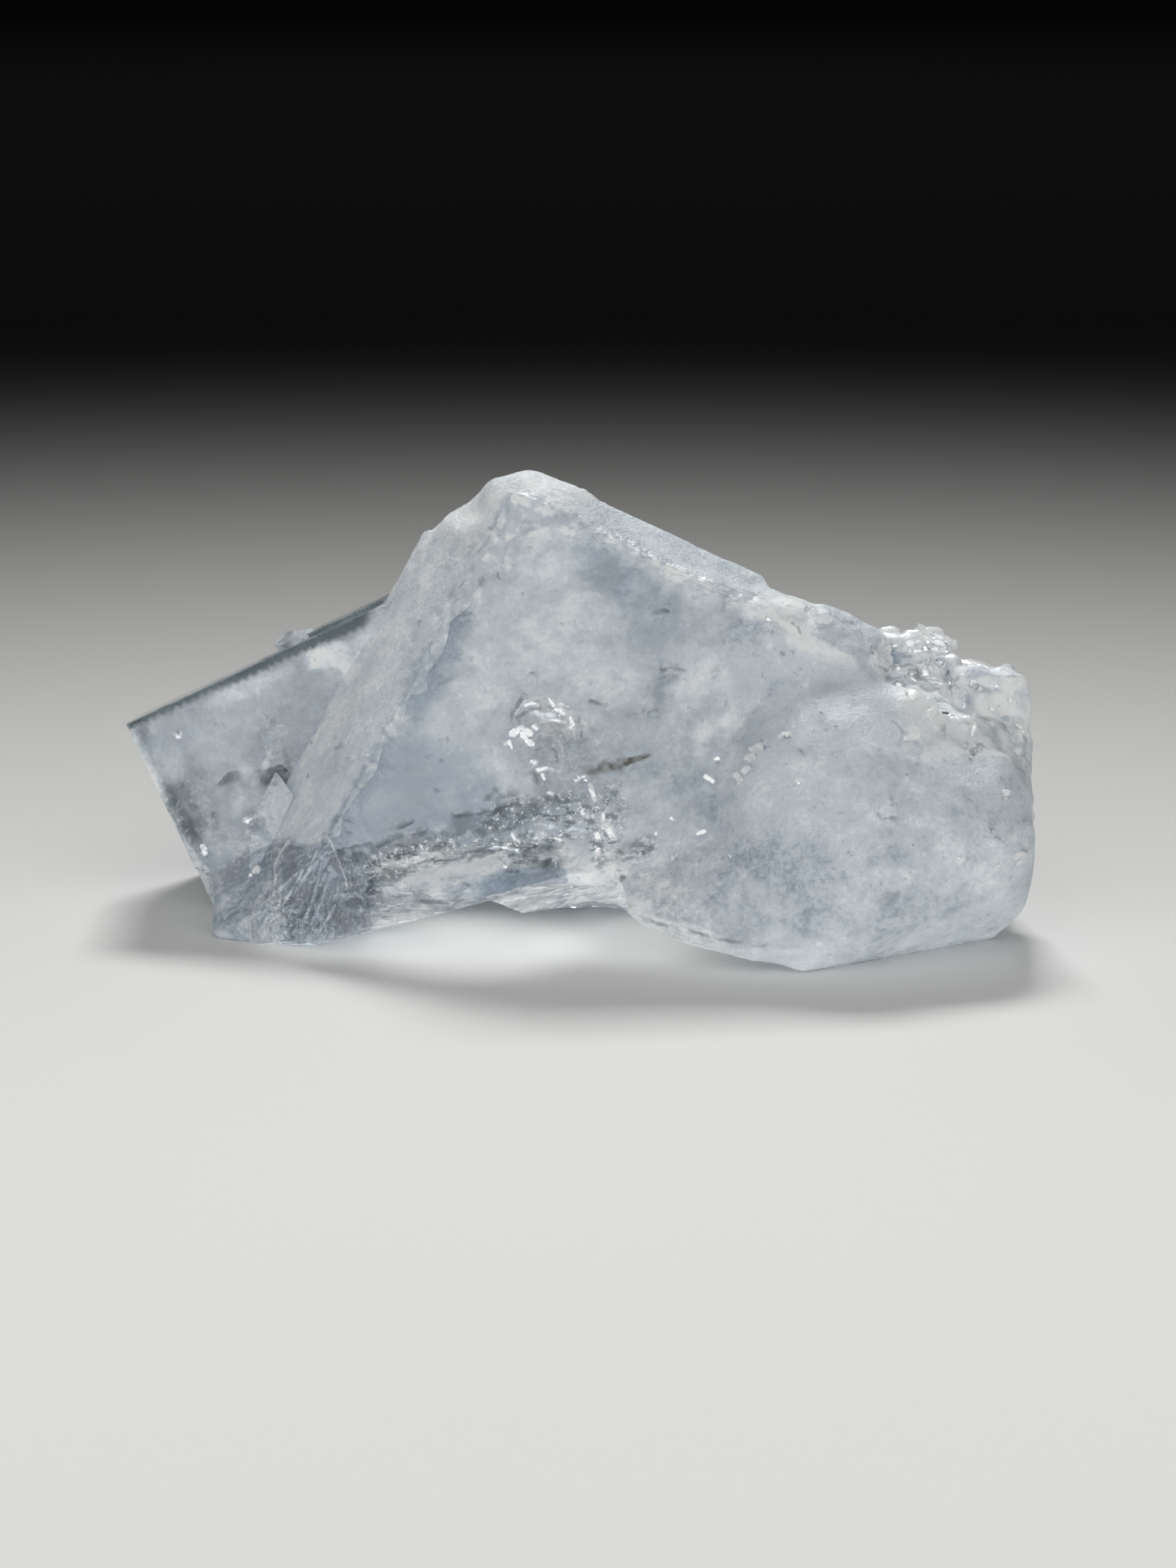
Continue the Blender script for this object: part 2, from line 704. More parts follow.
    shade(0.05, (10.1, 13.7), (10.4, 13.5), (10.5, 13.2), (10.4, 12.8)),
    shade(0.06, (9.4, 13.6), (9.2, 13.4), (9.2, 13.2)),
    glint(0.08, (9.0, 13.9), (9.1, 13.8)),
    shade(0.15, (8.4, 12.7), (8.6, 12.8)),
    shade(0.08, (8.4, 12.4), (8.5, 12.2)),
    shade(0.06, (9.3, 12.6), (9.3, 12.4)),
    shade(0.07, (9.6, 12.3), (9.7, 12.2)),
    shade(0.07, (10.8, 10.0), (11.1, 9.9)),
    shade(0.08, (11.3, 9.5), (11.4, 9.2)),
    shade(0.12, (11.8, 9.0), (12.0, 8.9)),
    # The lobes.
    glint(0.1, (9.5, 8.5), (9.8, 8.5)),
    glint(0.1, (8.6, 8.0), (8.4, 7.9), (8.2, 7.8)),
    glint(0.11, (8.2, 7.5), (8.0, 7.4)),
    glint(0.08, (8.0, 7.0), (7.8, 6.8)),
    glint(0.12, (7.5, 6.6), (7.6, 6.5)),
    shade(0.1, (10.3, 7.8), (10.4, 7.7)),
    shade(0.07, (9.8, 6.2), (9.9, 6.2)),
    glint(0.07, (10.2, 6.3)),
    scratch(0.08, (11.0, 7.2), (11.2, 6.9)),
    shade(0.22, (14.3, 5.5), (14.4, 5.3)),
    shade(0.05, (13.6, 5.0), (13.9, 4.7), (14.4, 4.8)),
    glint(0.09, (6.0, 4.1), (5.7, 4.0)),
    glint(0.07, (4.5, 4.7)),
    glint(0.09, (4.6, 2.9)),
    glint(0.12, (6.6, 7.4)),
    glint(0.1, (6.1, 6.6), (6.4, 6.4)),
    *dots(
        (0.07, 7.1, 3.0), (0.08, 3.8, 4.0), (0.09, -0.1, 1.7), (0.08, 1.2, 1.7), (0.07, 2.5, 2.1),
    ),
    # The cap's border.
    shade(0.05, (14.2, 11.7), (14.9, 11.3), (15.2, 10.7), (15.0, 9.9)),
    glint(0.12, (14.4, 11.8), (14.8, 11.7)),
    glint(0.1, (15.0, 11.7), (15.2, 11.7)),
    glint(0.14, (15.2, 10.9), (15.3, 10.6)),
    # The cap.
    glint(0.12, (16.5, 13.6)),
    glint(0.1, (17.1, 13.4), (17.5, 13.1), (18.0, 12.8)),
    glint(0.12, (15.8, 12.9), (16.3, 12.8)),
    glint(0.11, (16.7, 12.8), (17.1, 12.6), (17.6, 12.5)),
    glint(0.16, (14.0, 12.5), (14.8, 12.5), (15.2, 12.7)),
    glint(0.13, (14.3, 12.1), (14.9, 12.0)),
    glint(0.12, (15.9, 11.3), (16.1, 11.2)),
    glint(0.12, (16.6, 11.2), (16.9, 11.1), (17.2, 11.0)),
    glint(0.09, (15.7, 9.8), (16.0, 9.9), (16.5, 9.9)),
    glint(0.13, (17.3, 10.4), (17.5, 10.1)),
    glint(0.28, (18.0, 10.5), (18.0, 10.1)),
    glint(0.14, (18.2, 9.3), (18.1, 9.1)),
    glint(0.1, (18.2, 8.4), (18.2, 8.2)),
    glint(0.11, (18.1, 7.6), (18.2, 7.5)),
    glint(0.1, (15.1, 8.3), (15.5, 8.3)),
    glint(0.1, (15.9, 12.5), (16.5, 12.6)),
    glint(0.12, (16.7, 12.0), (17.3, 12.0)),
    glint(0.11, (15.8, 11.4), (16.2, 11.4)),
    glint(0.12, (17.6, 11.3), (17.8, 10.9)),
    glint(0.08, (15.7, 9.0), (16.0, 9.1)),
    glint(0.09, (16.8, 9.4), (17.1, 9.2)),
    glint(0.08, (16.3, 8.4), (16.7, 8.5)),
    # The right end.
    cloud(0.4, (19.0, 8.8), (19.3, 9.1), (19.5, 9.4)),
    cloud(0.30, (20.5, 9.1), (20.9, 8.6)),
    glint(0.14, (20.6, 8.9)),
    glint(0.09, (20.3, 7.7), (20.4, 7.8)),
    shade(0.22, (20.7, 8.2), (20.8, 8.4)),
    shade(0.07, (18.9, 4.2), (19.1, 3.9), (19.6, 3.6)),
    glint(0.08, (19.6, 5.7), (19.7, 5.8)),
    cloud(0.2, (19.9, 3.9), (20.0, 3.8)),
    glint(0.09, (20.2, 3.0), (20.2, 3.1)),
    *dots(
        (0.09, 19.6, 5.8), (0.07, 17.4, 2.9), (0.08, 19.2, 2.6), (0.07, 20.1, 3.0),
        (0.12, 20.4, 7.6), (0.08, 18.0, 7.4), (0.08, 18.4, 7.7), (0.11, 19.0, 8.5),
        (0.1, 20.8, 8.7), (0.12, 18.2, 9.3), (0.1, 18.9, 10.6), (0.08, 19.7, 10.8),
        (0.09, 19.3, 9.8), (0.08, 20.3, 10.2), (0.1, 18.6, 10.9),
    ),
)

# Crackled places.
CRACKLES = (
    shaded((-1.9, 5.9), (3.4, 1.4), 12),
    shaded((-7.4, 4.3), (3.0, 0.9), 14),
    shaded((-0.3, 9.0), (1.9, 1.9), 0, 0.28),
    shaded((1.5, 6.0), (0.9, 2.0), -14, 0.8),
    shaded((2.9, 5.0), (1.2, 0.5), 20, 0.9),
    shaded((-18.2, 4.3), (1.6, 2.4), 25, 0.4, 12.0),
    shaded((-12.5, 1.4), (2.2, 1.2), 0, 0.6),
    shaded((-14.2, 8.0), (0.9, 2.4), 15, 0.45, 12.0),
)

# Soft-edged places of another look; each covers what the earlier ones left.
ZONES = (
    deep((-6.3, 13.0), (1.2, 3.4), -26),
    deep((-8.2, 7.7), (3.6, 2.1), 8, 0.8),
    deep((-4.8, 6.3), (3.4, 1.6), 4, 0.75),
    deep((-10.6, 5.2), (2.4, 1.6), 0, 0.7),
    deep((-13.6, 2.1), (3.2, 1.8), 0, 0.6),
    deep((-19.6, 8.7), (1.7, 1.3), 0, 0.8, 12.0),
    deep((2.3, 16.3), (3.0, 1.2), -27, 0.75),
    deep((3.6, 14.6), (1.9, 1.2), 0, 0.5),
    deep((4.9, 13.9), (4.8, 0.7), 8, 0.35),
    deep((4.2, 12.0), (0.7, 1.5), 14, 0.35),
    deep((9.6, 11.7), (1.0, 0.7), 10, 0.35),
    deep((-3.0, 3.2), (2.8, 0.5), 13, 0.9),
    deep((5.8, 6.4), (6.4, 3.2), 6, 0.2),
    deep((10.5, 3.4), (7.5, 2.6), 4, 0.15),
    shaded((-4.6, 4.9), (2.4, 0.4), 6, 0.45),
    shaded((18.2, 2.7), (3.4, 1.8), 0, 0.07),
    shaded((-2.4, 6.2), (1.7, 0.5), 10, 0.4),
    shaded((-8.4, 3.6), (0.9, 0.4), 14, 0.45),
    shaded((2.7, 5.1), (0.7, 0.3), 20, 0.5),
    clouded((-2.4, 14.5), (3.0, 4.6), -24, 0.2),
    clouded((1.6, 12.3), (2.0, 1.3), 0, 0.4),
    clouded((5.4, 11.7), (0.8, 2.0), -42, 0.62),
    clouded((-1.2, 10.3), (1.4, 1.4), 0, 0.35),
    clouded((5.9, 16.0), (0.9, 0.7), -20, 0.8),
    clouded((10.0, 15.1), (1.7, 0.8), -12, 0.9),
    clouded((-11.4, 12.2), (1.5, 0.5), 24, 0.9, 12.0),
    clouded((-15.7, 10.6), (2.4, 0.5), 22, 0.6, 12.0),
    clouded((-15.6, 5.9), (0.7, 1.4), -14, 0.5, 12.0),
    deep((-13.0, 6.6), (1.6, 3.2), -30, 0.3),
    cleared((-0.4, 8.2), (2.5, 3.6), 14, 0.08),
    clouded((6.9, 10.6), (1.3, 1.0), 30, 0.5),
    clouded((5.6, 5.1), (1.7, 0.9), 10, 0.5),
    clouded((8.4, 7.6), (1.1, 0.8), -20, 0.35),
    clouded((10.8, 6.7), (1.5, 0.6), -14, 0.4),
    clouded((12.2, 9.2), (1.8, 1.0), 20, 0.3),
    clouded((16.2, 6.3), (1.8, 0.9), -10, 0.35),
    clouded((13.4, 4.2), (1.9, 0.7), 8, 0.35),
    clouded((8.8, 3.6), (1.4, 0.7), -12, 0.35),
    shaded((-18.5, 4.7), (0.8, 1.7), 30, 1.0, 12.0),
    shaded((-13.6, 9.0), (1.0, 1.3), 30, 0.15, 12.0),
)


# ---- The finish ---------------------------------------------------------------------------


# The layers that are painted on the vertices and read by the finish.
ATTRIBUTES = (
    "milk", "frost", "tone", "shade", "rust", "stir", "crackle", "glint", "strand", "rib", "sweep",
)


@dataclass(frozen=True)
class ClearFluorite:
    """The finish of the crystals: clear pale blue, milky and frosted in places.

    Attributes:
        refraction: Refractive index of fluorite.
        clear_tint: Colour of light through a clear face.
        blue_tint: Colour of the deep blue places.
        haze_tint: Colour of the even haze.
        white_tint: Colour of clouds, crumbs and scratches.
        shade_tint: Colour of dark hollows.
        rust_tint: Colour of the brown stain.
        absorbed: Colour that stays after the absorption depth.
        absorption: Absorption density per metre.
        glow: Share of the milky light that spreads inside.
        glow_depth: How far it spreads.
        glow_spread: How far red, green and blue spread, as shares of that.
        clear_roughness: Roughness of a face without frost.
        frost_roughness: Roughness of a fully frosted face.
        glint_metal: How mirror-like the small bright facets are.
        clouds: Pattern of the large clouds.
        wisps: Pattern of the wisps in them.
        grit: Pattern of the fine grit.
        flecks: Pattern of the pale flecks.
        specks: Pattern of the dark specks.
        pits: Pattern of the crackled places' dark pits.
        chips: Pattern of their bright chips.
        hairs: Pattern of the glassy places' dark and bright strands.
        grain: Pattern of the frost's fine bumps.
        swell: Pattern of the wide low swells.
        rib_angle: Angle of the ribs' wave for each radian of the fan.
        rib_wander: How far the ribs stray, as an angle of their wave.
        grain_depth: Height of the frost's bumps.
        swell_depth: Height of the swells.
    """

    refraction: float = 1.434
    clear_tint: Triple = (0.95, 0.98, 1.0)
    blue_tint: Triple = (0.43, 0.51, 0.61)
    haze_tint: Triple = (0.70, 0.76, 0.805)
    white_tint: Triple = (0.925, 0.942, 0.945)
    shade_tint: Triple = (0.12, 0.16, 0.17)
    rust_tint: Triple = (0.095, 0.088, 0.072)
    absorbed: Triple = (0.82, 0.91, 1.0)
    absorption: float = 25.0
    glow: float = 0.4
    glow_depth: float = 4.0
    glow_spread: Triple = (1.0, 1.05, 1.12)
    clear_roughness: float = 0.04
    frost_roughness: float = 0.62
    glint_metal: float = 0.92
    clouds: Pattern = Pattern(2.9, detail=8.0, roughness=0.62, distortion=0.5)
    wisps: Pattern = Pattern(0.85, detail=8.0, roughness=0.7)
    grit: Pattern = Pattern(0.24, detail=4.0, roughness=0.75)
    flecks: Pattern = Pattern(0.42, detail=3.0, roughness=0.7)
    specks: Pattern = Pattern(0.36, detail=2.0, roughness=0.6)
    pits: Pattern = Pattern(0.46, detail=6.0, roughness=0.75, stretch=(0.8, 1.0, 1.5), turn=14.0)
    chips: Pattern = Pattern(0.24, detail=4.0, roughness=0.72)
    hairs: Pattern = Pattern(0.42, detail=5.0, roughness=0.66, stretch=(0.2, 0.8, 1.3), turn=-6.0)
    grain: Pattern = Pattern(0.16, detail=3.0, roughness=0.6)
    swell: Pattern = Pattern(1.6, detail=2.0)
    rib_angle: float = 78.0
    rib_wander: float = 14.0
    grain_depth: float = 0.09
    swell_depth: float = 0.05

    def build(self) -> bpy.types.Material:
        """Builds the material."""
        nodes = Nodes("clear_fluorite")
        shader = nodes.add("BsdfPrincipled")
        shader.inputs["IOR"].default_value = self.refraction
        shader.inputs["Subsurface Weight"].default_value = self.glow
        shader.inputs["Subsurface Radius"].default_value = self.glow_spread
        shader.inputs["Subsurface Scale"].default_value = self.glow_depth * MM
        painted = {name: nodes.attribute(name) for name in ATTRIBUTES}
        wisps = nodes.noise(self.wisps)
        drift = self.drift(nodes, painted, wisps)
        dark, bright = self.breaks(nodes, painted, wisps)
        veil = nodes.plus(painted["milk"], nodes.times(drift, 0.8))
        veil = nodes.plus(veil, nodes.times(bright, 0.4))
        body = self.body(nodes, painted["tone"], drift, bright)
        specks = nodes.ramp(nodes.noise(self.specks), 0.66, 0.72)
        shade = nodes.most(painted["shade"], nodes.times(specks, 0.30))
        shade = nodes.most(shade, nodes.times(dark, 0.88))
        shade = nodes.times(shade, nodes.maths("SUBTRACT", 1.0, bright))
        colour = nodes.blend(nodes.ramp(veil, 0.0, 0.6), self.clear_tint, body)
        colour = nodes.blend(shade, colour, self.shade_tint)
        colour = nodes.blend(painted["rust"], colour, self.rust_tint)
        nodes.link(colour, shader.inputs["Base Color"])
        clear = nodes.ramp(veil, 0.0, 1.0, 1.0, 0.10)
        unstained = nodes.ramp(painted["rust"], 0.0, 1.0, 1.0, 0.2)
        nodes.link(nodes.times(clear, unstained), shader.inputs["Transmission Weight"])
        rough = nodes.ramp(painted["frost"], 0.0, 1.0, self.clear_roughness, self.frost_roughness)
        nodes.link(rough, shader.inputs["Roughness"])
        mirror = nodes.ramp(painted["glint"], 0.25, 0.7, 0.0, self.glint_metal)
        nodes.link(mirror, shader.inputs["Metallic"])
        nodes.link(self.relief(nodes, painted["frost"]), shader.inputs["Normal"])
        nodes.link(shader.outputs["BSDF"], nodes.output.inputs["Surface"])
        absorb = nodes.add("VolumeAbsorption")
        absorb.inputs["Color"].default_value = (*self.absorbed, 1.0)
        absorb.inputs["Density"].default_value = self.absorption
        nodes.link(absorb.outputs["Volume"], nodes.output.inputs["Volume"])
        return nodes.material

    def drift(self, nodes: Nodes, painted: dict[str, Socket], wisps: Socket) -> Socket:
        """Adds the clouds, wisps and grit that stir the milk.

        Args:
            nodes: The node tree.
            painted: The painted layers by name.
            wisps: The wisps' noise.

        Returns:
            How much milkier each place is.
        """
        clouds = nodes.ramp(nodes.noise(self.clouds), 0.36, 0.66, -0.17, 0.17)
        grit = nodes.ramp(nodes.noise(self.grit), 0.36, 0.66, -0.16, 0.16)
        grit = nodes.times(grit, nodes.ramp(painted["frost"], 0.2, 0.9, 0.35, 1.0))
        drift = nodes.plus(clouds, nodes.ramp(wisps, 0.34, 0.70, -0.13, 0.13))
        return nodes.times(nodes.plus(drift, grit), painted["stir"])

    def breaks(self, nodes: Nodes, painted: dict[str, Socket], wisps: Socket) -> tuple[Socket, Socket]:
        """Adds the pits, chips, strands and ribs of the broken places.

        Args:
            nodes: The node tree.
            painted: The painted layers by name.
            wisps: The wisps' noise, which bends the ribs.

        Returns:
            How dark and how bright they make each place.
        """
        crackle, strand = painted["crackle"], painted["strand"]
        hairs = nodes.noise(self.hairs)
        pits = nodes.times(crackle, nodes.ramp(nodes.noise(self.pits), 0.50, 0.565))
        dark = nodes.most(pits, nodes.times(strand, nodes.ramp(hairs, 0.53, 0.62)))
        chips = nodes.times(crackle, nodes.ramp(nodes.noise(self.chips), 0.575, 0.61))
        bright = nodes.most(chips, nodes.times(strand, nodes.ramp(hairs, 0.43, 0.37)))
        wander = nodes.ramp(wisps, 0.2, 0.8, 0.0, self.rib_wander)
        phase = nodes.plus(nodes.times(painted["sweep"], self.rib_angle), wander)
        ribs = nodes.ramp(nodes.maths("SINE", phase), 0.86, 0.99)
        return dark, nodes.most(bright, nodes.times(painted["rib"], ribs))

    def body(self, nodes: Nodes, tone: Socket, drift: Socket, bright: Socket) -> Socket:
        """Adds the milk's colour, from deep blue through haze to white.

        Args:
            nodes: The node tree.
            tone: The painted tone.
            drift: How much milkier each place is.
            bright: How bright the broken places are.

        Returns:
            The colour.
        """
        flecks = nodes.ramp(nodes.noise(self.flecks), 0.60, 0.70)
        warmth = nodes.plus(tone, nodes.plus(drift, nodes.times(flecks, 0.22)))
        warmth = nodes.plus(warmth, nodes.times(bright, 0.7))
        cool = nodes.blend(nodes.ramp(warmth, 0.0, 0.5), self.blue_tint, self.haze_tint)
        return nodes.blend(nodes.ramp(warmth, 0.5, 1.0), cool, self.white_tint)

    def relief(self, nodes: Nodes, frost: Socket) -> Socket:
        """Adds the fine bumps of the frost over the wide swells and returns the normal."""
        fine = nodes.times(nodes.noise(self.grain), nodes.ramp(frost, 0.1, 1.0, 0.03, 1.0))
        swell = nodes.bump(nodes.noise(self.swell), self.swell_depth)
        return nodes.bump(fine, self.grain_depth, swell)


# ---- The surface and its regions ----------------------------------------------------------


class Surface:
    """The places, directions and regions of a mesh's vertices.

    A region is a row of values, 1 inside it and 0 outside it, and is worked out once.
    """

    def __init__(self, points: Array, normals: Array) -> None:
        """Keeps the rows.

        Args:
            points: Places in millimetres.
            normals: Unit directions.
        """
        self.points = points
        self.normals = normals
        self.main = MAIN.local(points)
        self.seen = np.stack([points[:, 0], points @ LAID_UP], 1)
        self.depth = points @ LAID_FROM
        self.noises: dict[tuple[float, int], Array] = {}
        self.laid: dict[Mark, LaidMark] = {}

    def noise(self, size: float, seed: int = 0) -> Array:
        """Returns smooth noise of a feature size, from -1 to 1."""
        if (size, seed) not in self.noises:
            self.noises[(size, seed)] = value_noise(self.points, size, seed)
        return self.noises[(size, seed)]

    def depth_at(self, place: Array, fronting: Array) -> float:
        """Finds how near the foremost surface is at a place.

        Args:
            place: The place, across and up as seen from the front.
            fronting: Indices of the vertices that face the front.

        Returns:
            The surface's depth there, which grows towards the front.
        """
        gap = np.linalg.norm(self.seen[fronting] - place, axis=1)
        close = gap < max(0.22, gap.min() + 0.05)
        depth = self.depth[fronting][close]
        foremost = depth > depth.max() - 0.9
        return float(np.average(depth[foremost], weights=1 / (gap[close][foremost] + 0.05)))

    def lay(self, mark: Mark) -> LaidMark:
        """Lays a mark on the foremost surface along its line, once."""
        if mark not in self.laid:
            fronting = np.nonzero(self.normals @ LAID_FROM > LAID_FACING)[0]
            depths = [self.depth_at(place, fronting) for place in np.array(mark.places, float)]
            close = mark.near(self.seen, 2.2 * mark.width)
            gap, run = mark.nearest(self.seen[close])
            legs = np.arange(len(depths))
            across, up = (np.interp(run, legs, column) for column in zip(*mark.places))
            depth = np.interp(run, legs, depths)
            on_it = np.abs(self.depth[close] - depth) < LAID_REACH
            line = np.outer(up, LAID_UP) + np.outer(depth, LAID_FROM)
            line[:, 0] += across
            self.laid[mark] = LaidMark(close[on_it], gap[on_it] / mark.width, line[on_it])
        return self.laid[mark]

    def facing(self, frame: CrystalFrame, direction: Triple,
               low: float = 0.80, high: float = 0.93) -> Array:
        """Finds where the surface faces a direction.

        Args:
            frame: The frame that the direction is given in.
            direction: The direction, of any length.
            low: Cosine of the angle to it where the region starts.
            high: Cosine of the angle to it where the region is full.

        Returns:
            Values from 0 to 1.
        """
        wanted = np.array(frame.matrix())[:3, :3] @ np.array(direction)
        return smooth_step(low, high, self.normals @ (wanted / np.linalg.norm(wanted)))

    @cached_property
    def bevels(self) -> Array:
        """Returns the frosted bevels of the main crystal and their crust."""
        x, y, z = self.main.T
        left = self.facing(MAIN, (-1, 0, 1)) * smooth_step(5.8, 5.4, x) * smooth_step(-5.5, -4.6, z)
        top = self.facing(MAIN, (0, 1, 1)) * smooth_step(-4.6, -4.0, y) * smooth_step(-4.5, -3.5, z)
        rim = np.maximum(smooth_step(6.0, 5.6, x), smooth_step(-4.6, -4.3, y))
        crust = smooth_step(0.012, 0.04, z) * rim
        crust *= smooth_step(16.8, 16.4, x) * smooth_step(-21.2, -20.8, y)
        return np.clip(np.maximum(np.maximum(left, top), crust), 0, 1) * (1 - self.sole)

    @cached_property
    def wall(self) -> Array:
        """Returns the small step where the crust on the bevels ends on the front face."""
        x, y, z = self.main.T
        near = (x < 6.2) | (y > -5.2)
        risen = smooth_step(0.004, 0.012, z) * smooth_step(0.995, 0.97, self.normals @ MAIN_OUT)
        box = (x < 17.2) * (y > -20.6) * (x > 4.15) * (y < -1.93)
        return risen * near * smooth_step(0.7, 0.5, z) * box

    @cached_property
    def fringe(self) -> Array:
        """Returns 1 on the edge of the crust, falling to 0 within a millimetre of it."""
        edge = np.nonzero(self.wall > 0.3)[0]
        tree = KDTree(len(edge))
        for index in edge:
            tree.insert(self.points[index], int(index))
        tree.balance()
        x, y, z = self.main.T
        near = (np.abs(z) < 0.5) & ((x < 7.4) | (y > -6.4)) & (x < 17.6) & (y > -21.0)
        close = np.zeros(len(self.points))
        for index in np.nonzero(near)[0]:
            close[index] = max(0.0, 1.0 - tree.find(self.points[index])[2])
        return close

    @cached_property
    def face(self) -> Array:
        """Returns the front face of the main crystal."""
        x, _, z = self.main.T
        level = smooth_step(-0.5, -0.2, z) * smooth_step(0.12, 0.04, z)
        return level * self.facing(MAIN, (0, 0, 1)) * smooth_step(3.6, 4.0, x)

    @cached_property
    def foot(self) -> Array:
        """Returns the ribbed foot at the lower left of the main crystal."""
        x, y, _ = self.main.T
        low = smooth_step(-20.3, -21.2, y) * smooth_step(7.4, 6.6, x)
        return np.maximum(low * smooth_step(0.3, -0.3, self.points[:, 1] - 1.0), self.sole)

    @cached_property
    def sole(self) -> Array:
        """Returns the clear low end of the left bevel, which belongs to the foot."""
        height = self.points[:, 2] + 0.25 * self.noise(0.9, 45)
        front = smooth_step(1.1, 0.6, self.points[:, 1]) * smooth_step(-8.8, -9.6, self.points[:, 0])
        return smooth_step(4.8, 4.2, height) * front

    @cached_property
    def rear(self) -> Array:
        """Returns the clear crystal behind."""
        x, y, z = REAR.local(self.points).T
        inside = (x > -0.6) & (x < 16.2) & (y < 1.3) & (z < 0.5)
        outside_main = smooth_step(0.05, -0.35, np.minimum(self.main[:, 0], -self.main[:, 1]))
        return inside * np.maximum(outside_main, self.main[:, 2] < -7.5)

    @cached_property
    def sweep(self) -> Array:
        """Returns the angle around the point from which the foot's ribs spread, in radians."""
        x, _, z = FAN_POINT
        return np.arctan2(self.points[:, 0] - x, z - self.points[:, 2]) + 2.0

    @cached_property
    def steps(self) -> Array:
        """Returns the heights of small square steps along the cap's own axes, from 0 to 1."""
        place = CAP.local(self.points) / STEP_SIZE
        place[:, 0] += 0.5 * np.floor(place[:, 1])
        cell = np.floor(place + 0.15 * self.noise(0.5, 28)[:, None]).astype(np.int64)
        return cell_hash(cell) / HASH_TOP

    @cached_property
    def cap(self) -> Array:
        """Returns the stepped cap."""
        return Oval((2.2, -3.4, -1.8), (3.5, 4.6, 5.0), frame=CAP).share(self.points)

    @cached_property
    def skirt(self) -> Array:
        """Returns the small steps that run down from the cap over the lobe."""
        frame = CrystalFrame((16.8, -3.4, 10.6), roll=12)
        return Oval((0.0, 0.0, 0.0), (2.3, 2.4, 4.2), 0.35, frame).share(self.points)

    @cached_property
    def end(self) -> Array:
        """Returns the rough block at the right end."""
        return Oval((2.0, -4.6, -2.2), (3.2, 6.2, 5.4), frame=BLOCK).share(self.points)

    @cached_property
    def ridge(self) -> Array:
        """Returns the broken ridge beside the top bevel."""
        return Oval((19.8, -1.0, -2.2), (4.3, 2.5, 4.0), frame=MAIN).share(self.points)

    @cached_property
    def apex(self) -> Array:
        """Returns the worn top corner of the main crystal."""
        worn = Oval((3.4, -1.3, -1.8), (4.2, 3.4, 4.4), 0.3, MAIN).share(self.points)
        return worn * (self.main[:, 2] < 0.05)

    @cached_property
    def lobes(self) -> Array:
        """Returns the smooth swollen lobes, without the rough growths on them."""
        swollen = np.maximum.reduce([oval.share(self.points) for oval in LOBE_OVALS])
        on_face = smooth_step(0.25, 0.1, self.main[:, 2]) * self.facing(MAIN, (0, 0, 1), 0.985, 0.995)
        ground = smooth_step(0.25, 0.05, self.points[:, 2])
        swollen = swollen * (1 - self.cap) * (1 - self.end) * (1 - self.ridge)
        return swollen * (1 - on_face) * (1 - ground)

    @cached_property
    def swell(self) -> Array:
        """Returns the lobes and the hollows around them, which are all rounded."""
        ground = smooth_step(0.5, 0.2, self.points[:, 2])
        rough = np.maximum.reduce([self.cap, self.end, self.ridge, self.bevels, ground])
        return np.maximum.reduce([oval.share(self.points) for oval in SWELL_OVALS]) * (1 - rough)

    @cached_property
    def toe(self) -> Array:
        """Returns the round end of the foot."""
        return Oval((-16.5, -3.9, 0.8), (1.4, 1.5, 1.5), 0.3).share(self.points)

    @cached_property
    def trough(self) -> Array:
        """Returns the shallow trough from below the cap to the right end."""
        frame = CrystalFrame((18.0, -3.4, 9.9), roll=32)
        return Oval((0.0, 0.0, 0.0), (3.6, 1.2, 3.0), 0.5, frame).share(self.points)

    @cached_property
    def seam(self) -> Array:
        """Returns the streaky place where the lobes meet the scoop."""
        frame = CrystalFrame((3.7, -8.0, 2.8), roll=20)
        return Oval((0.0, 0.0, 0.0), (4.4, 1.7, 3.8), 0.5, frame).share(self.points)

    @cached_property
    def joins(self) -> Array:
        """Returns the hollows between the lobes and their neighbours, which are filled smooth."""
        groove = Oval((13.6, -4.4, 11.9), (6.3, 3.6, 2.5), 0.4).share(self.points) * (1 - self.cap)
        lump = Oval((2.9, -7.6, 3.0), (2.0, 3.0, 2.8), 0.4).share(self.points)
        return np.maximum(groove, lump) * smooth_step(0.5, 0.8, self.points[:, 2])

    @cached_property
    def scoop(self) -> Array:
        """Returns the shell-like scoop along the front edge."""
        angle = math.radians(SCOOP_TURN)
        x, y, z = (self.main - SCOOP_MIDDLE).T
        along = x * math.cos(angle) + y * math.sin(angle)
        across = y * math.cos(angle) - x * math.sin(angle)
        length, breadth, depth = SCOOP_RADII
        rim = np.sqrt((along / length) ** 2 + (across / breadth) ** 2 + (z / depth) ** 2)
        return smooth_step(1.12, 1.0, rim)

    @cached_property
    def under(self) -> Array:
        """Returns the glassy broken underside behind the front edge."""
        down = smooth_step(-0.1, -0.35, self.normals[:, 2])
        return down * smooth_step(0.3, 0.6, self.points[:, 2]) * smooth_step(9.5, 8.5, self.points[:, 2])


# ---- Relief and coat ----------------------------------------------------------------------


@dataclass(frozen=True)
class Bump:
    """A soft swelling of the surface.

    Attributes:
        height: How far it stands out; below 0 for a dent.
        oval: Where it is.
    """

    height: float
    oval: Oval


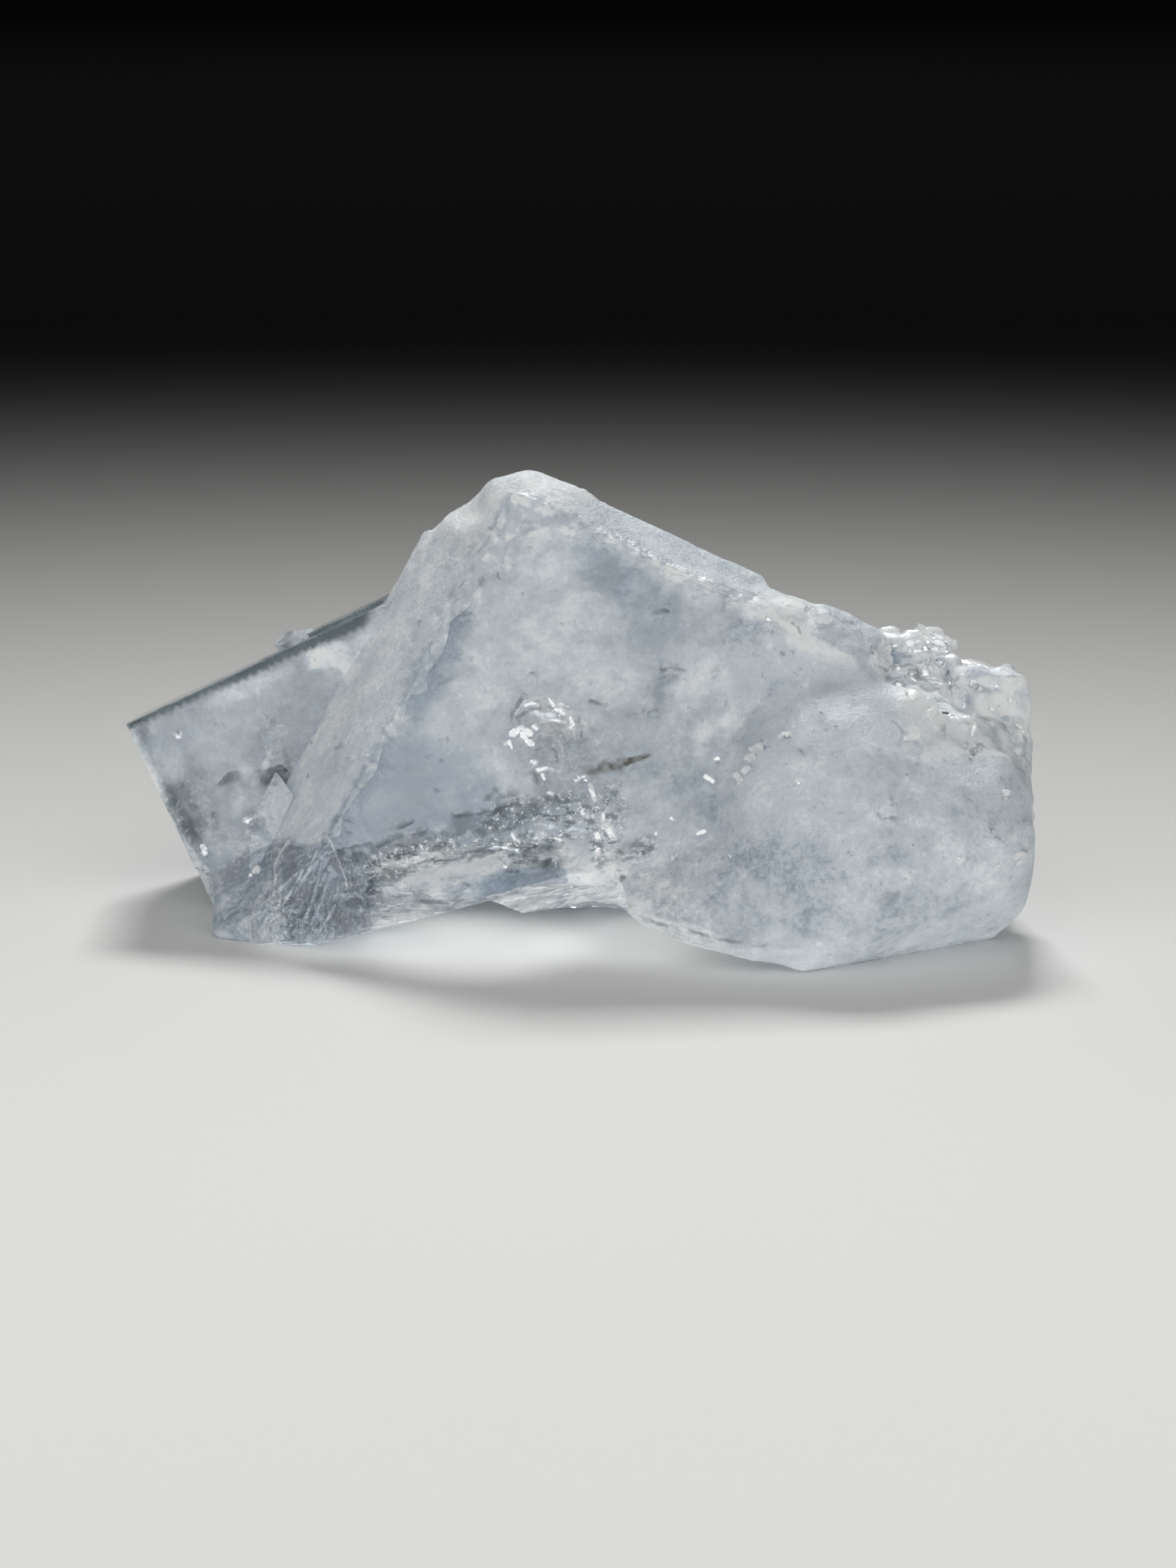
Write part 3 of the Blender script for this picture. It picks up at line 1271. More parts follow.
# Swellings of the worn top corner and below the brown streak, and the dent beside the corner.
BUMPS = (
    Bump(0.30, Oval((-3.4, 3.9, 20.2), (1.3, 2.0, 1.2), 0.6)),
    Bump(0.22, Oval((-0.8, 3.2, 20.0), (1.5, 1.8, 0.8), 0.7)),
    Bump(0.40, Oval((1.5, -7.0, 3.1), (1.6, 1.8, 1.1), 0.6)),
    Bump(-0.38, Oval((-5.0, 3.9, 19.4), (1.0, 2.0, 1.1), 0.6)),
)
# Swellings that fill the trough below the cap.
FILLS = tuple(
    Bump(0.4, Oval(middle, (1.7, 2.2, 1.1), 0.8))
    for middle in ((15.6, -3.2, 11.0), (17.2, -3.3, 10.4), (18.8, -3.5, 9.5), (20.1, -3.9, 8.4))
)
# Knobs on the edge of the right end.
KNOBS = tuple(
    Bump(0.34, Oval(middle, (0.8, 1.0, 0.45), 0.5))
    for middle in ((20.8, -6.0, 7.0), (20.9, -7.0, 6.0), (20.7, -7.2, 5.0))
)


@dataclass(frozen=True)
class Relief:
    """The fine relief of the crystals, in heights along the surface's normals.

    Attributes:
        surface: The surface that is raised and sunk.
        ring_gap: Distance between the scoop's ripples.
        ring_point: Where the ripples spread from.
        rib_count: Ribs of the foot's fan, in radians of their wave for each radian of the fan.
        glint_reach: How far a small bright facet may cut in or stand out.
        mark_reach: How far any other mark may.
    """

    surface: Surface
    ring_gap: float = 0.62
    ring_point: Triple = (-6.0, -6.5, 2.0)
    rib_count: float = 46.0
    glint_reach: float = 0.13
    mark_reach: float = 0.08

    def heights(self) -> Array:
        """Returns how far each vertex moves outwards, in millimetres."""
        height = self.crystals() + self.growths() + self.bumps()
        self.cut_marks(height)
        return height * smooth_step(0.0, 0.4, self.surface.points[:, 2])

    def crystals(self) -> Array:
        """Returns the frost, the ribs, the ripples and the swells of the smooth regions."""
        surface, noise = self.surface, self.surface.noise
        frost = 0.022 * noise(0.42) + 0.016 * noise(0.22, 1) + 0.045 * noise(2.2)
        height = surface.bevels * (frost - 0.07 * smooth_step(0.42, 0.7, noise(0.6, 2)))
        height += surface.fringe * (0.06 * noise(0.5, 16) + 0.06 * noise(0.24, 17))
        fan = np.sin(self.rib_count * surface.sweep + 2.5 * noise(1.2, 3))
        height += surface.foot * (0.032 * fan + 0.035 * noise(0.5, 4) + 0.02 * noise(0.25, 5))
        spread = np.linalg.norm(surface.points - self.ring_point, axis=1)
        rings = np.sin(2 * math.pi * spread / self.ring_gap + 1.8 * noise(2.0, 13))
        height += np.maximum(surface.scoop, surface.under) * (0.016 * rings + 0.03 * noise(1.1, 14))
        height += surface.lobes * 0.05 * noise(2.6, 15)
        return height

    def growths(self) -> Array:
        """Returns the steps of the cap and the roughness of the right end and the ridge."""
        surface, noise = self.surface, self.surface.noise
        steps, grain = surface.steps, 0.03 * noise(0.4, 8)
        height = surface.cap * (0.15 * steps + grain)
        height += surface.skirt * (1 - surface.cap) * (0.2 + 0.18 * steps + grain)
        lumps = 0.30 * (0.35 - np.abs(noise(1.4, 9)))
        height += surface.end * (lumps + 0.13 * noise(0.7, 33) + 0.08 * noise(0.4, 10))
        height += surface.ridge * (0.10 * noise(1.1, 11) + 0.05 * noise(0.4, 12))
        return height

    def bumps(self) -> Array:
        """Returns the soft swellings and dents."""
        surface = self.surface
        height = 0.28 * surface.apex
        for bump in BUMPS + KNOBS:
            height += bump.height * bump.oval.share(surface.points)
        for bump in FILLS:
            height += bump.height * bump.oval.share(surface.points) * (1 - surface.cap)
        return height

    def cut_marks(self, height: Array) -> None:
        """Cuts the bright facets flat, and raises or sinks the other marks.

        Args:
            height: The heights so far, which are changed.
        """
        lifts = {Paint.SCRATCH: 0.5, Paint.CLOUD: 0.1, Paint.SHADE: -0.45}
        for mark in MARKS:
            laid = self.surface.lay(mark)
            if mark.paint is Paint.GLINT:
                height[laid.close] += self.facet(laid)
            else:
                lift = min(self.mark_reach, mark.width) * lifts.get(mark.paint, 0.0)
                height[laid.close] += lift * smooth_step(1.3, 0.4, laid.rim)

    def facet(self, laid: LaidMark) -> Array:
        """Returns how far each vertex of a bright facet moves to lie level with the others."""
        share = smooth_step(1.65, 1.3, laid.rim)
        towards = self.surface.normals[laid.close] @ FACET_OUT
        gap = (laid.line - self.surface.points[laid.close]) @ FACET_OUT
        if share.sum() > 0:
            gap -= (share @ gap) / share.sum()
        return share * np.clip(gap / np.maximum(towards, 0.3), -self.glint_reach, self.glint_reach)


@dataclass(frozen=True)
class Look:
    """How a region looks.

    Attributes:
        milk: How milky it is.
        frost: How rough its skin is.
        tone: Its tone, from deep blue at 0 through haze to white at 1.
    """

    milk: float
    frost: float
    tone: float


def mix(layer: Array, share: Array, value: float, close: Array | slice = slice(None)) -> None:
    """Moves a layer towards a value.

    Args:
        layer: The layer, which is changed.
        share: How far each vertex moves, from 0 to 1.
        value: The value that it moves towards.
        close: The vertices that move; all of them by default.
    """
    layer[close] += (value - layer[close]) * np.clip(share, 0, 1)


class Coat:
    """The layers that are painted on the vertices; each coat covers what lies under it."""

    def __init__(self, surface: Surface) -> None:
        """Starts with an even coat.

        Args:
            surface: The surface that is painted.
        """
        count = len(surface.points)
        self.surface = surface
        self.milk = np.full(count, 0.58)
        self.frost = np.full(count, 0.35)
        self.tone = np.full(count, 0.5)
        self.shade = np.zeros(count)
        self.rust = np.zeros(count)
        self.glint = np.zeros(count)
        self.calm = np.ones(count)
        self.fray = 0.6 * surface.noise(1.3, 20) + 0.4 * surface.noise(0.5, 21)

    @cached_property
    def lip(self) -> Array:
        """Returns the right part of the underside, which is less glassy."""
        return self.surface.under * smooth_step(1.8, 3.2, self.surface.points[:, 0])

    @cached_property
    def top_bevel(self) -> Array:
        """Returns the bevel along the main crystal's top edge."""
        surface = self.surface
        right = smooth_step(5.0, 8.5, surface.main[:, 0])
        return surface.bevels * surface.facing(MAIN, (0, 1, 1)) * right

    def cover(self, share: Array, look: Look) -> None:
        """Gives a region its look."""
        mix(self.milk, share, look.milk)
        mix(self.frost, share, look.frost)
        mix(self.tone, share, look.tone)

    def cover_regions(self) -> None:
        """Gives the regions their looks, one over the other."""
        surface, (x, _, z) = self.surface, self.surface.points.T
        behind = smooth_step(0.1, 0.4, surface.normals[:, 1])
        toe_side = 0.85 * surface.sole * smooth_step(-12.6, -14.0, x)
        low_bevel = surface.bevels * smooth_step(10.5, 7.0, z) * smooth_step(-6.0, -7.5, x)
        for share, look in (
            (behind, Look(0.22, 0.4, 0.6)),
            (surface.face, Look(0.62, 0.22, 0.55)),
            (surface.lobes, Look(0.8, 0.75, 0.55)),
            (np.maximum(surface.scoop, surface.under), Look(0.66, 0.16, 0.8)),
            (self.lip, Look(0.8, 0.72, 0.54)),
            (self.lip * smooth_step(9.0, 6.0, x), Look(0.88, 0.72, 0.78)),
            (surface.joins, Look(0.82, 0.75, 0.6)),
            (surface.seam, Look(0.84, 0.55, 0.88)),
            (surface.rear, Look(0.36, 0.1, 0.22)),
            (surface.foot, Look(0.47, 0.3, 0.06)),
            (toe_side, Look(0.72, 0.34, 0.52)),
            (surface.ridge, Look(0.98, 0.9, 1.0)),
            (surface.cap, Look(0.97, 0.42, 1.0)),
            (surface.end, Look(0.88, 0.45, 0.93)),
            (surface.bevels, Look(0.88, 0.9, 0.67)),
            (low_bevel, Look(0.95, 0.9, 0.74)),
            (self.top_bevel, Look(0.8, 0.88, 0.48)),
            (surface.toe, Look(0.64, 0.45, 0.24)),
            (surface.apex, Look(0.92, 0.9, 0.83)),
            (surface.trough, Look(0.88, 0.75, 0.8)),
            (0.95 * surface.skirt * (1 - surface.cap), Look(0.95, 0.45, 1.0)),
        ):
            self.cover(share, look)

    def cover_fringe(self) -> None:
        """Crumbles the edge of the crust on the bevels."""
        noise, bevels, fringe = self.surface.noise, self.surface.bevels, self.surface.fringe
        crumbs = noise(0.36, 40) + 0.6 * noise(0.17, 41)
        on_face = smooth_step(0.6, 0.85, fringe * (1 - bevels) + 0.42 * crumbs)
        on_crust = smooth_step(0.5, 0.75, fringe * bevels - 0.55 * crumbs)
        rim = smooth_step(0.95, 1.2, fringe + 0.6 * noise(0.2, 42))
        for share, look in (
            (on_face, Look(0.84, 0.9, 0.68)),
            (on_crust, Look(0.66, 0.45, 0.42)),
            (rim, Look(0.92, 0.8, 1.0)),
        ):
            self.cover(share * (fringe > 0.05), look)

    def paint_zones(self) -> None:
        """Paints the soft-edged zones."""
        for zone in ZONES:
            share = zone.strength(self.surface.points, self.fray)
            if zone.paint is Paint.BLUE:
                share = share * (1 - 0.7 * self.surface.bevels)
                mix(self.tone, share, 0.0)
                mix(self.milk, 0.4 * share, 0.40)
            elif zone.paint is Paint.CLOUD:
                mix(self.tone, share, 0.85)
                mix(self.milk, share, 0.9)
            elif zone.paint is Paint.CLEAR:
                mix(self.milk, share, 0.12)
            elif zone.paint is Paint.SHADE:
                broken = 0.75 + 0.25 * self.surface.noise(0.35, 22)
                self.shade = np.maximum(self.shade, share * broken)

    def paint_marks(self) -> None:
        """Paints the marks, one over the other."""
        noise = self.surface.noise
        for mark in MARKS:
            laid = self.surface.lay(mark)
            close, rim = laid.close, laid.rim
            ragged = 0.35 * noise(0.3, 23)[close] + 0.25 * noise(0.13, 24)[close]
            if mark.paint is Paint.GLINT:
                rim = np.maximum(rim + 1.6 * ragged, rim)
            else:
                rim = rim + ragged
            if mark.paint in (Paint.SHADE, Paint.RUST):
                self.paint_dark(mark, close, rim)
            elif mark.paint in (Paint.BLUE, Paint.FROST):
                self.paint_calm(mark, close, rim)
            else:
                self.paint_pale(mark, close, rim)

    def paint_dark(self, mark: Mark, close: Array, rim: Array) -> None:
        """Paints a dark hollow or a brown stain.

        Args:
            mark: The mark.
            close: Indices of the vertices near it.
            rim: Their distances from its ragged middle line, in widths.
        """
        noise = self.surface.noise
        if mark.paint is Paint.SHADE:
            gaps = noise(0.34, 46)[close] + 0.7 * noise(0.16, 47)[close]
            share = smooth_step(1.5, 0.5, rim) * smooth_step(-0.45, 0.35, gaps)
            strong = 0.82 if mark.width > 0.25 else 0.6
            self.shade[close] = np.maximum(self.shade[close], strong * share)
        else:
            beads = np.clip(0.75 + 0.5 * noise(0.22, 26)[close], 0.3, 1.0)
            self.rust[close] = np.maximum(self.rust[close], smooth_step(1.25, 0.85, rim) * beads)

    def paint_calm(self, mark: Mark, close: Array, rim: Array) -> None:
        """Paints a calm blue or frosted place; the arguments are paint_dark's."""
        if mark.paint is Paint.BLUE:
            share = smooth_step(1.25, 0.85, rim)
            mix(self.tone, share, 0.1, close)
            mix(self.milk, share, 0.6, close)
        else:
            share = smooth_step(1.25, 0.9, rim)
            mix(self.tone, share, 0.6, close)
            mix(self.milk, share, 0.86, close)
            mix(self.frost, share, 0.85, close)
        self.calm[close] *= 1 - share

    def paint_pale(self, mark: Mark, close: Array, rim: Array) -> None:
        """Paints a cloud, a scratch or a bright facet; the arguments are paint_dark's."""
        noise = self.surface.noise
        share = smooth_step(1.25, 0.85, rim)
        if mark.paint is Paint.CLOUD:
            share = smooth_step(1.4, 0.5, rim) * smooth_step(-0.8, 0.4, noise(0.45, 32)[close])
        elif mark.paint is Paint.SCRATCH and mark.width < 0.2:
            share = 0.7 * share * smooth_step(-0.9, 0.3, noise(0.7, 29)[close] + 0.1)
        mix(self.tone, share, 1.0, close)
        mix(self.milk, share, 0.9, close)
        self.shade[close] *= 1 - share
        if mark.paint is Paint.GLINT:
            mix(self.frost, share, 0.1, close)
            split = smooth_step(-0.4, -0.15, noise(0.28, 31)[close])
            split = split * smooth_step(0.66, 0.86, self.surface.normals[close] @ FACET_OUT)
            self.glint[close] = np.maximum(self.glint[close], share * split)

    def paint_rear(self) -> None:
        """Darkens the clear crystal behind along its top, and pales its left edge."""
        surface = self.surface
        x, y, z = REAR.local(surface.points).T
        stirred = 0.85 + 0.15 * surface.noise(0.8, 25)
        deep = 0.42 + 0.58 * smooth_step(-5.5, -2.5, z)
        top = surface.rear * surface.facing(REAR, (0, 1, 0)) * stirred * deep
        band = smooth_step(-0.34, -0.24, y + 0.022 * x)
        band = band * smooth_step(-2.4, -1.2, z + 0.6 * surface.noise(0.9, 27))
        self.shade = np.maximum(self.shade, np.maximum(0.9 * top, surface.rear * band))
        strip = surface.rear * smooth_step(0.42, 0.28, x) * (1 - band)
        mix(self.tone, strip, 0.7)
        mix(self.milk, strip, 0.75)

    def paint_cap(self) -> None:
        """Gives the cap's steps bright tops, and the right end its patches."""
        surface, noise, steps = self.surface, self.surface.noise, self.surface.steps
        front = np.maximum(surface.cap, 0.8 * surface.skirt) * (surface.normals[:, 1] < 0.2)
        high = np.where(surface.skirt * (1 - surface.cap) > 0.4, 0.84, 0.91)
        upright = smooth_step(0.62, 0.8, surface.normals @ FACET_OUT)
        tops = front * upright * (steps > high) * smooth_step(-0.1, 0.1, noise(0.35, 30))
        self.glint = np.maximum(self.glint, tops)
        self.tone += front * 0.35 * (steps - 0.5)
        self.tone += surface.end * (0.22 * noise(0.5, 34) + 0.12 * noise(0.22, 35))

    def crackle(self) -> Array:
        """Returns where the dark pits and bright chips lie."""
        surface = self.surface
        crackle = np.zeros(len(surface.points))
        for zone in CRACKLES:
            crackle = np.maximum(crackle, zone.strength(surface.points, self.fray))
        smooth = np.maximum(surface.bevels, surface.lobes)
        return np.maximum(crackle * (1 - smooth), 0.22 * surface.seam) * self.calm

    def strand(self) -> Array:
        """Returns where the dark and bright strands of the glassy places lie."""
        surface = self.surface
        glassy = np.maximum(surface.scoop, surface.under) * (1 - self.lip)
        strand = np.maximum(0.62 * glassy, 0.1 * self.lip)
        return np.maximum(strand * (1 - surface.seam), 0.3 * surface.seam) * self.calm

    def rib(self) -> Array:
        """Returns where the foot's bright ribs lie."""
        reach = np.linalg.norm(self.surface.points - FAN_POINT, axis=1)
        return 0.6 * self.calm * self.surface.foot * smooth_step(8.0, 6.0, reach)

    def build(self) -> dict[str, Array]:
        """Paints everything.

        Returns:
            The layers by name.
        """
        surface = self.surface
        self.cover_regions()
        self.cover_fringe()
        self.paint_zones()
        self.paint_marks()
        self.shade = np.maximum(self.shade, 0.13 * self.top_bevel)
        self.paint_rear()
        self.paint_cap()
        rounded = np.maximum(surface.lobes, surface.joins)
        layers = {
            "milk": self.milk,
            "frost": self.frost,
            "tone": self.tone,
            "shade": self.shade,
            "rust": self.rust,
            "stir": 1 - 0.3 * rounded - 0.25 * surface.bevels - 0.25 * surface.face,
            "crackle": self.crackle(),
            "glint": self.glint,
            "strand": self.strand(),
            "rib": self.rib(),
        }
        layers = {name: np.clip(layer, 0, 1) for name, layer in layers.items()}
        return {**layers, "sweep": surface.sweep}


# ---- The crystals -------------------------------------------------------------------------


@dataclass
class CrystalGroup:
    """The crystals, as one closed mesh with finer relief than the frame's solid.

    Attributes:
        fine_edge: Longest edge on frosted and rough places.
        smooth_edge: Longest edge on rounded lobes and scoops.
        face_edge: Longest edge on the flat front face.
        plain_edge: Longest edge elsewhere.
        mark_edge: Longest edge on the narrowest marks.
        slack: How much longer than that an edge may be before it is split, as a factor.
        rounds: How many times the edges may be split.
        merge_gap: How near corners are merged.
        level_angle: Angle in degrees below which the solid's faces are joined.
        crust_share: Share of the crust's height that is taken off.
        smooth_factor: How far each round of smoothing goes.
        weight_steps: How finely a vertex group's weights are stepped.
        crease: Angle in degrees above which an edge stays sharp.
        finish: What the crystals are made of.
    """

    fine_edge: float = 0.19
    smooth_edge: float = 0.34
    face_edge: float = 0.42
    plain_edge: float = 0.65
    mark_edge: float = 0.085
    slack: float = 1.4
    rounds: int = 11
    merge_gap: float = 0.001
    level_angle: float = 0.3
    crust_share: float = 0.85
    smooth_factor: float = 0.6
    weight_steps: int = 250
    crease: float = 30.0
    finish: ClearFluorite = field(default_factory=ClearFluorite)

    def build(self, node: Piece) -> Piece:
        """Builds and dresses the crystals.

        Args:
            node: The frame's node that this piece stands for.

        Returns:
            The new piece.
        """
        piece = self.copy_of(node)
        self.refine(piece)
        log.info("refined to %d faces", len(piece.data.polygons))
        self.thin_crust(piece)
        self.wear(piece)
        surface = self.surface_of(piece)
        self.relieve(piece, Relief(surface).heights())
        self.paint(piece, Coat(surface).build())
        self.fracture(piece)
        self.dress(piece)
        log.info("%s: %d faces", piece.name, len(piece.data.polygons))
        return piece

    def dress(self, piece: Piece) -> None:
        """Shades the piece, gives it its finish and joins it to the frame."""
        activate(piece)
        bpy.ops.object.shade_smooth_by_angle(angle=math.radians(self.crease))
        piece.data.materials.clear()
        piece.data.materials.append(self.finish.build())
        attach(piece, BODY)
        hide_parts(NODE)

    def copy_of(self, node: Piece) -> Piece:
        """Copies the node's mesh to a piece of its own and merges its corners."""
        piece = bpy.data.objects.new("crystal_group", node.data.copy())
        bpy.context.scene.collection.objects.link(piece)
        activate(piece)
        bpy.ops.object.mode_set(mode="EDIT")
        bpy.ops.mesh.select_all(action="SELECT")
        bpy.ops.mesh.remove_doubles(threshold=self.merge_gap * MM)
        bpy.ops.mesh.customdata_custom_splitnormals_clear()
        bpy.ops.mesh.dissolve_limited(angle_limit=math.radians(self.level_angle))
        bpy.ops.mesh.quads_convert_to_tris(quad_method="BEAUTY", ngon_method="BEAUTY")
        bpy.ops.object.mode_set(mode="OBJECT")
        return piece

    def surface_of(self, piece: Piece) -> Surface:
        """Reads the piece's vertices."""
        flat = np.empty(len(piece.data.vertices) * 3, np.float32)
        piece.data.vertices.foreach_get("normal", flat)
        return Surface(positions(piece.data), flat.reshape(-1, 3).astype(float))

    def edge_limit(self, surface: Surface) -> Array:
        """Returns the longest edge wanted at each point of a surface."""
        back = surface.points[:, 1]
        fine = np.maximum.reduce([surface.bevels, surface.foot, surface.cap, surface.end,
                                  surface.ridge, surface.skirt]) * (back < 6.0)
        smooth = np.maximum.reduce([surface.lobes, surface.scoop, surface.under * (back < 2.0),
                                    0.5 * surface.rear * (back < 4.0)])
        x, y, z = surface.main.T
        rim = (np.abs(z) < 0.5) & ((x < 6.8) | (y > -5.6)) & (x < 17.4) & (y > -20.8)
        limit = np.full(len(surface.points), self.plain_edge)
        limit[surface.face > 0.3] = self.face_edge
        limit[rim] = np.minimum(limit[rim], 1.2 * self.fine_edge)
        limit[smooth > 0.3] = self.smooth_edge
        limit[fine > 0.3] = self.fine_edge
        fronting = surface.normals @ LAID_FROM > LAID_FACING
        for mark in MARKS:
            close = mark.near(surface.seen, 2 * mark.width + 0.15)
            gap, _ = mark.nearest(surface.seen[close])
            inside = close[(gap < 1.35 * mark.width + 0.06) & fronting[close]]
            wanted = np.clip(0.8 * mark.width, self.mark_edge, self.fine_edge)
            limit[inside] = np.minimum(limit[inside], wanted)
        return limit

    def long_edges(self, piece: Piece) -> Array:
        """Returns which edges are longer than is wanted at their middles."""
        mesh = piece.data
        ends = np.empty(len(mesh.edges) * 2, np.int32)
        mesh.edges.foreach_get("vertices", ends)
        ends = ends.reshape(-1, 2)
        surface = self.surface_of(piece)
        first, second = surface.points[ends[:, 0]], surface.points[ends[:, 1]]
        normals = surface.normals[ends[:, 0]] + surface.normals[ends[:, 1]]
        normals /= np.maximum(np.linalg.norm(normals, axis=1), 1e-6)[:, None]
        limit = self.edge_limit(Surface((first + second) / 2, normals))
        return np.linalg.norm(first - second, axis=1) > self.slack * limit

    def refine(self, piece: Piece) -> None:
        """Splits edges until none is longer than is wanted where it lies."""
        activate(piece)
        bpy.context.tool_settings.mesh_select_mode = (False, True, False)
        for _ in range(self.rounds):
            chosen = self.long_edges(piece)
            if not chosen.any():
                break
            mesh = piece.data
            mesh.vertices.foreach_set("select", np.zeros(len(mesh.vertices), bool))
            mesh.polygons.foreach_set("select", np.zeros(len(mesh.polygons), bool))
            mesh.edges.foreach_set("select", chosen)
            bpy.ops.object.mode_set(mode="EDIT")
            bpy.ops.mesh.subdivide(number_cuts=1, quadcorner="INNERVERT")
            bpy.ops.mesh.select_all(action="SELECT")
            bpy.ops.mesh.quads_convert_to_tris(quad_method="SHORTEST_DIAGONAL", ngon_method="BEAUTY")
            bpy.ops.mesh.beautify_fill(angle_limit=math.radians(1.0))
            bpy.ops.object.mode_set(mode="OBJECT")

    def thin_crust(self, piece: Piece) -> None:
        """Lowers the bevels' crust until its edge is only a faint step on the front face."""
        surface = self.surface_of(piece)
        x, y, z = surface.main.T
        rim = np.maximum(smooth_step(6.4, 6.0, x), smooth_step(-5.0, -4.7, y))
        inside = rim * smooth_step(17.2, 16.6, x)
        raised = np.clip(z - 0.03, 0, 0.6) * (z < 0.8) * inside * smooth_step(-21.4, -20.8, y)
        moved = (surface.points - self.crust_share * raised[:, None] * MAIN_OUT) * MM
        piece.data.vertices.foreach_set("co", moved.astype(np.float32).ravel())
        piece.data.update()

    def weigh(self, piece: Piece, name: str, weights: Array) -> bpy.types.VertexGroup:
        """Adds a vertex group.

        Args:
            piece: The piece.
            name: The group's name.
            weights: The weight of each vertex, from 0 to 1.

        Returns:
            The new group.
        """
        group = piece.vertex_groups.new(name=name)
        steps = np.round(np.clip(weights, 0, 1) * self.weight_steps).astype(int)
        for step in np.unique(steps[steps > 0]):
            group.add(np.nonzero(steps == step)[0].tolist(), step / self.weight_steps, "REPLACE")
        return group

    def wear(self, piece: Piece) -> None:
        """Smooths the lobes' facets and the rough growths, and wears the top corner round."""
        surface = self.surface_of(piece)
        for name, weights, rounds in (
            ("lobes", surface.swell, 40),
            ("apex", surface.apex, 110),
            ("joins", surface.joins, 160),
            ("cap", surface.cap, 16),
            ("end", surface.end, 8),
            ("ridge", surface.ridge, 10),
            ("toe", surface.toe, 40),
        ):
            group = self.weigh(piece, name, weights)
            activate(piece)
            smooth = piece.modifiers.new(name, "SMOOTH")
            smooth.factor = self.smooth_factor
            smooth.iterations = rounds
            smooth.vertex_group = group.name
            bpy.ops.object.modifier_apply(modifier=smooth.name)

    def relieve(self, piece: Piece, height: Array) -> None:
        """Raises and sinks the surface.

        Args:
            piece: The piece.
            height: How far each vertex moves outwards, in millimetres.
        """
        for name, part, direction in (("raised", height, 1.0), ("sunk", -height, -1.0)):
            part = np.clip(part, 0, None)
            largest = float(part.max())
            group = self.weigh(piece, name, part / largest)
            activate(piece)
            push = piece.modifiers.new(name, "DISPLACE")
            push.direction = "NORMAL"
            push.mid_level = 0.0
            push.strength = direction * largest * MM
            push.vertex_group = group.name
            bpy.ops.object.modifier_apply(modifier=push.name)
        piece.vertex_groups.clear()

    def paint(self, piece: Piece, layers: dict[str, Array]) -> None:
        """Stores the painted layers as attributes of the vertices."""
        for name in ATTRIBUTES:
            layer = piece.data.attributes.new(name, "FLOAT", "POINT")
            layer.data.foreach_set("value", layers[name].astype(np.float32))

    def fracture(self, piece: Piece) -> None:
        """Joins the thin gaps inside to the crystals' mesh."""
        gaps = [gap.build() for gap in INNER_GAPS]
        deselect_all()
        for gap in gaps:
            gap.select_set(True)
        piece.select_set(True)
        bpy.context.view_layer.objects.active = piece
        bpy.ops.object.join()
        log.info("joined %d inner gaps", len(gaps))


# ---- Gaps inside the crystals -------------------------------------------------------------


@dataclass(frozen=True)
class Gap:
    """A thin closed gap inside the crystal, where it has cracked and light glances off.

    Attributes:
        middle: Its middle in the main crystal's frame.
        radii: Its half width and half height.
        turn: Its turn about x, y and z of that frame, in degrees.
        dome: How far its middle stands out.
        ripple: Height of its waves.
        grain: Size of its waves.
        detail: How finely it is divided.
        seed: Which waves it has.
        thickness: Half its thickness.
        fray: How far its outline strays, as a share of its size.
    """

    middle: Triple
    radii: Pair
    turn: Triple = (0.0, 0.0, 0.0)
    dome: float = 0.0
    ripple: float = 0.05
    grain: float = 0.5
    detail: int = 4
    seed: int = 1
    thickness: float = 0.03
    fray: float = 0.25

    def build(self) -> Piece:
        """Builds the gap with its faces towards its own inside."""
        bpy.ops.mesh.primitive_ico_sphere_add(subdivisions=self.detail, radius=1.0, location=(0, 0, 0))
        gap = bpy.context.active_object
        mesh = gap.data
        points = self.shaped(positions(mesh) * MM) * MM
        mesh.vertices.foreach_set("co", points.astype(np.float32).ravel())
        activate(gap)
        bpy.ops.object.mode_set(mode="EDIT")
        bpy.ops.mesh.select_all(action="SELECT")
        bpy.ops.mesh.flip_normals()
        bpy.ops.object.mode_set(mode="OBJECT")
        for name in ATTRIBUTES:
            layer = mesh.attributes.new(name, "FLOAT", "POINT")
            value = 1.0 if name == "tone" else 0.0
            layer.data.foreach_set("value", np.full(len(mesh.vertices), value, np.float32))
        return gap

    def shaped(self, unit: Array) -> Array:
        """Shapes a unit sphere into the gap.

        Args:
            unit: Rows of x, y, z on the sphere.

        Returns:
            Rows of x, y, z in the specimen's frame, in millimetres.
        """
        angle = np.arctan2(unit[:, 1], unit[:, 0])
        layer = np.full(len(angle), 0.5 * self.seed)
        ring = np.stack([np.cos(angle) * 2.1, np.sin(angle) * 2.1, layer], 1)
        reach = 1 + self.fray * value_noise(ring, 0.8, self.seed)
        across = unit[:, 0] * self.radii[0] * reach
        up = unit[:, 1] * self.radii[1] * reach
        flat = np.stack([across, up, np.full(len(across), 0.7 * self.seed)], 1)
        wave = value_noise(flat, self.grain, self.seed)
        wave += 0.5 * value_noise(flat, self.grain / 2.3, self.seed + 1)
        out = self.dome * (1 - unit[:, 0] ** 2 - unit[:, 1] ** 2) + self.ripple * wave
        out = out + self.thickness * unit[:, 2]
        euler = Euler([math.radians(v) for v in self.turn])
        turned = np.stack([across, up, out], 1) @ np.array(euler.to_matrix()).T + np.array(self.middle)
        world = np.array(MAIN.matrix())
        return turned @ world[:3, :3].T + world[:3, 3]


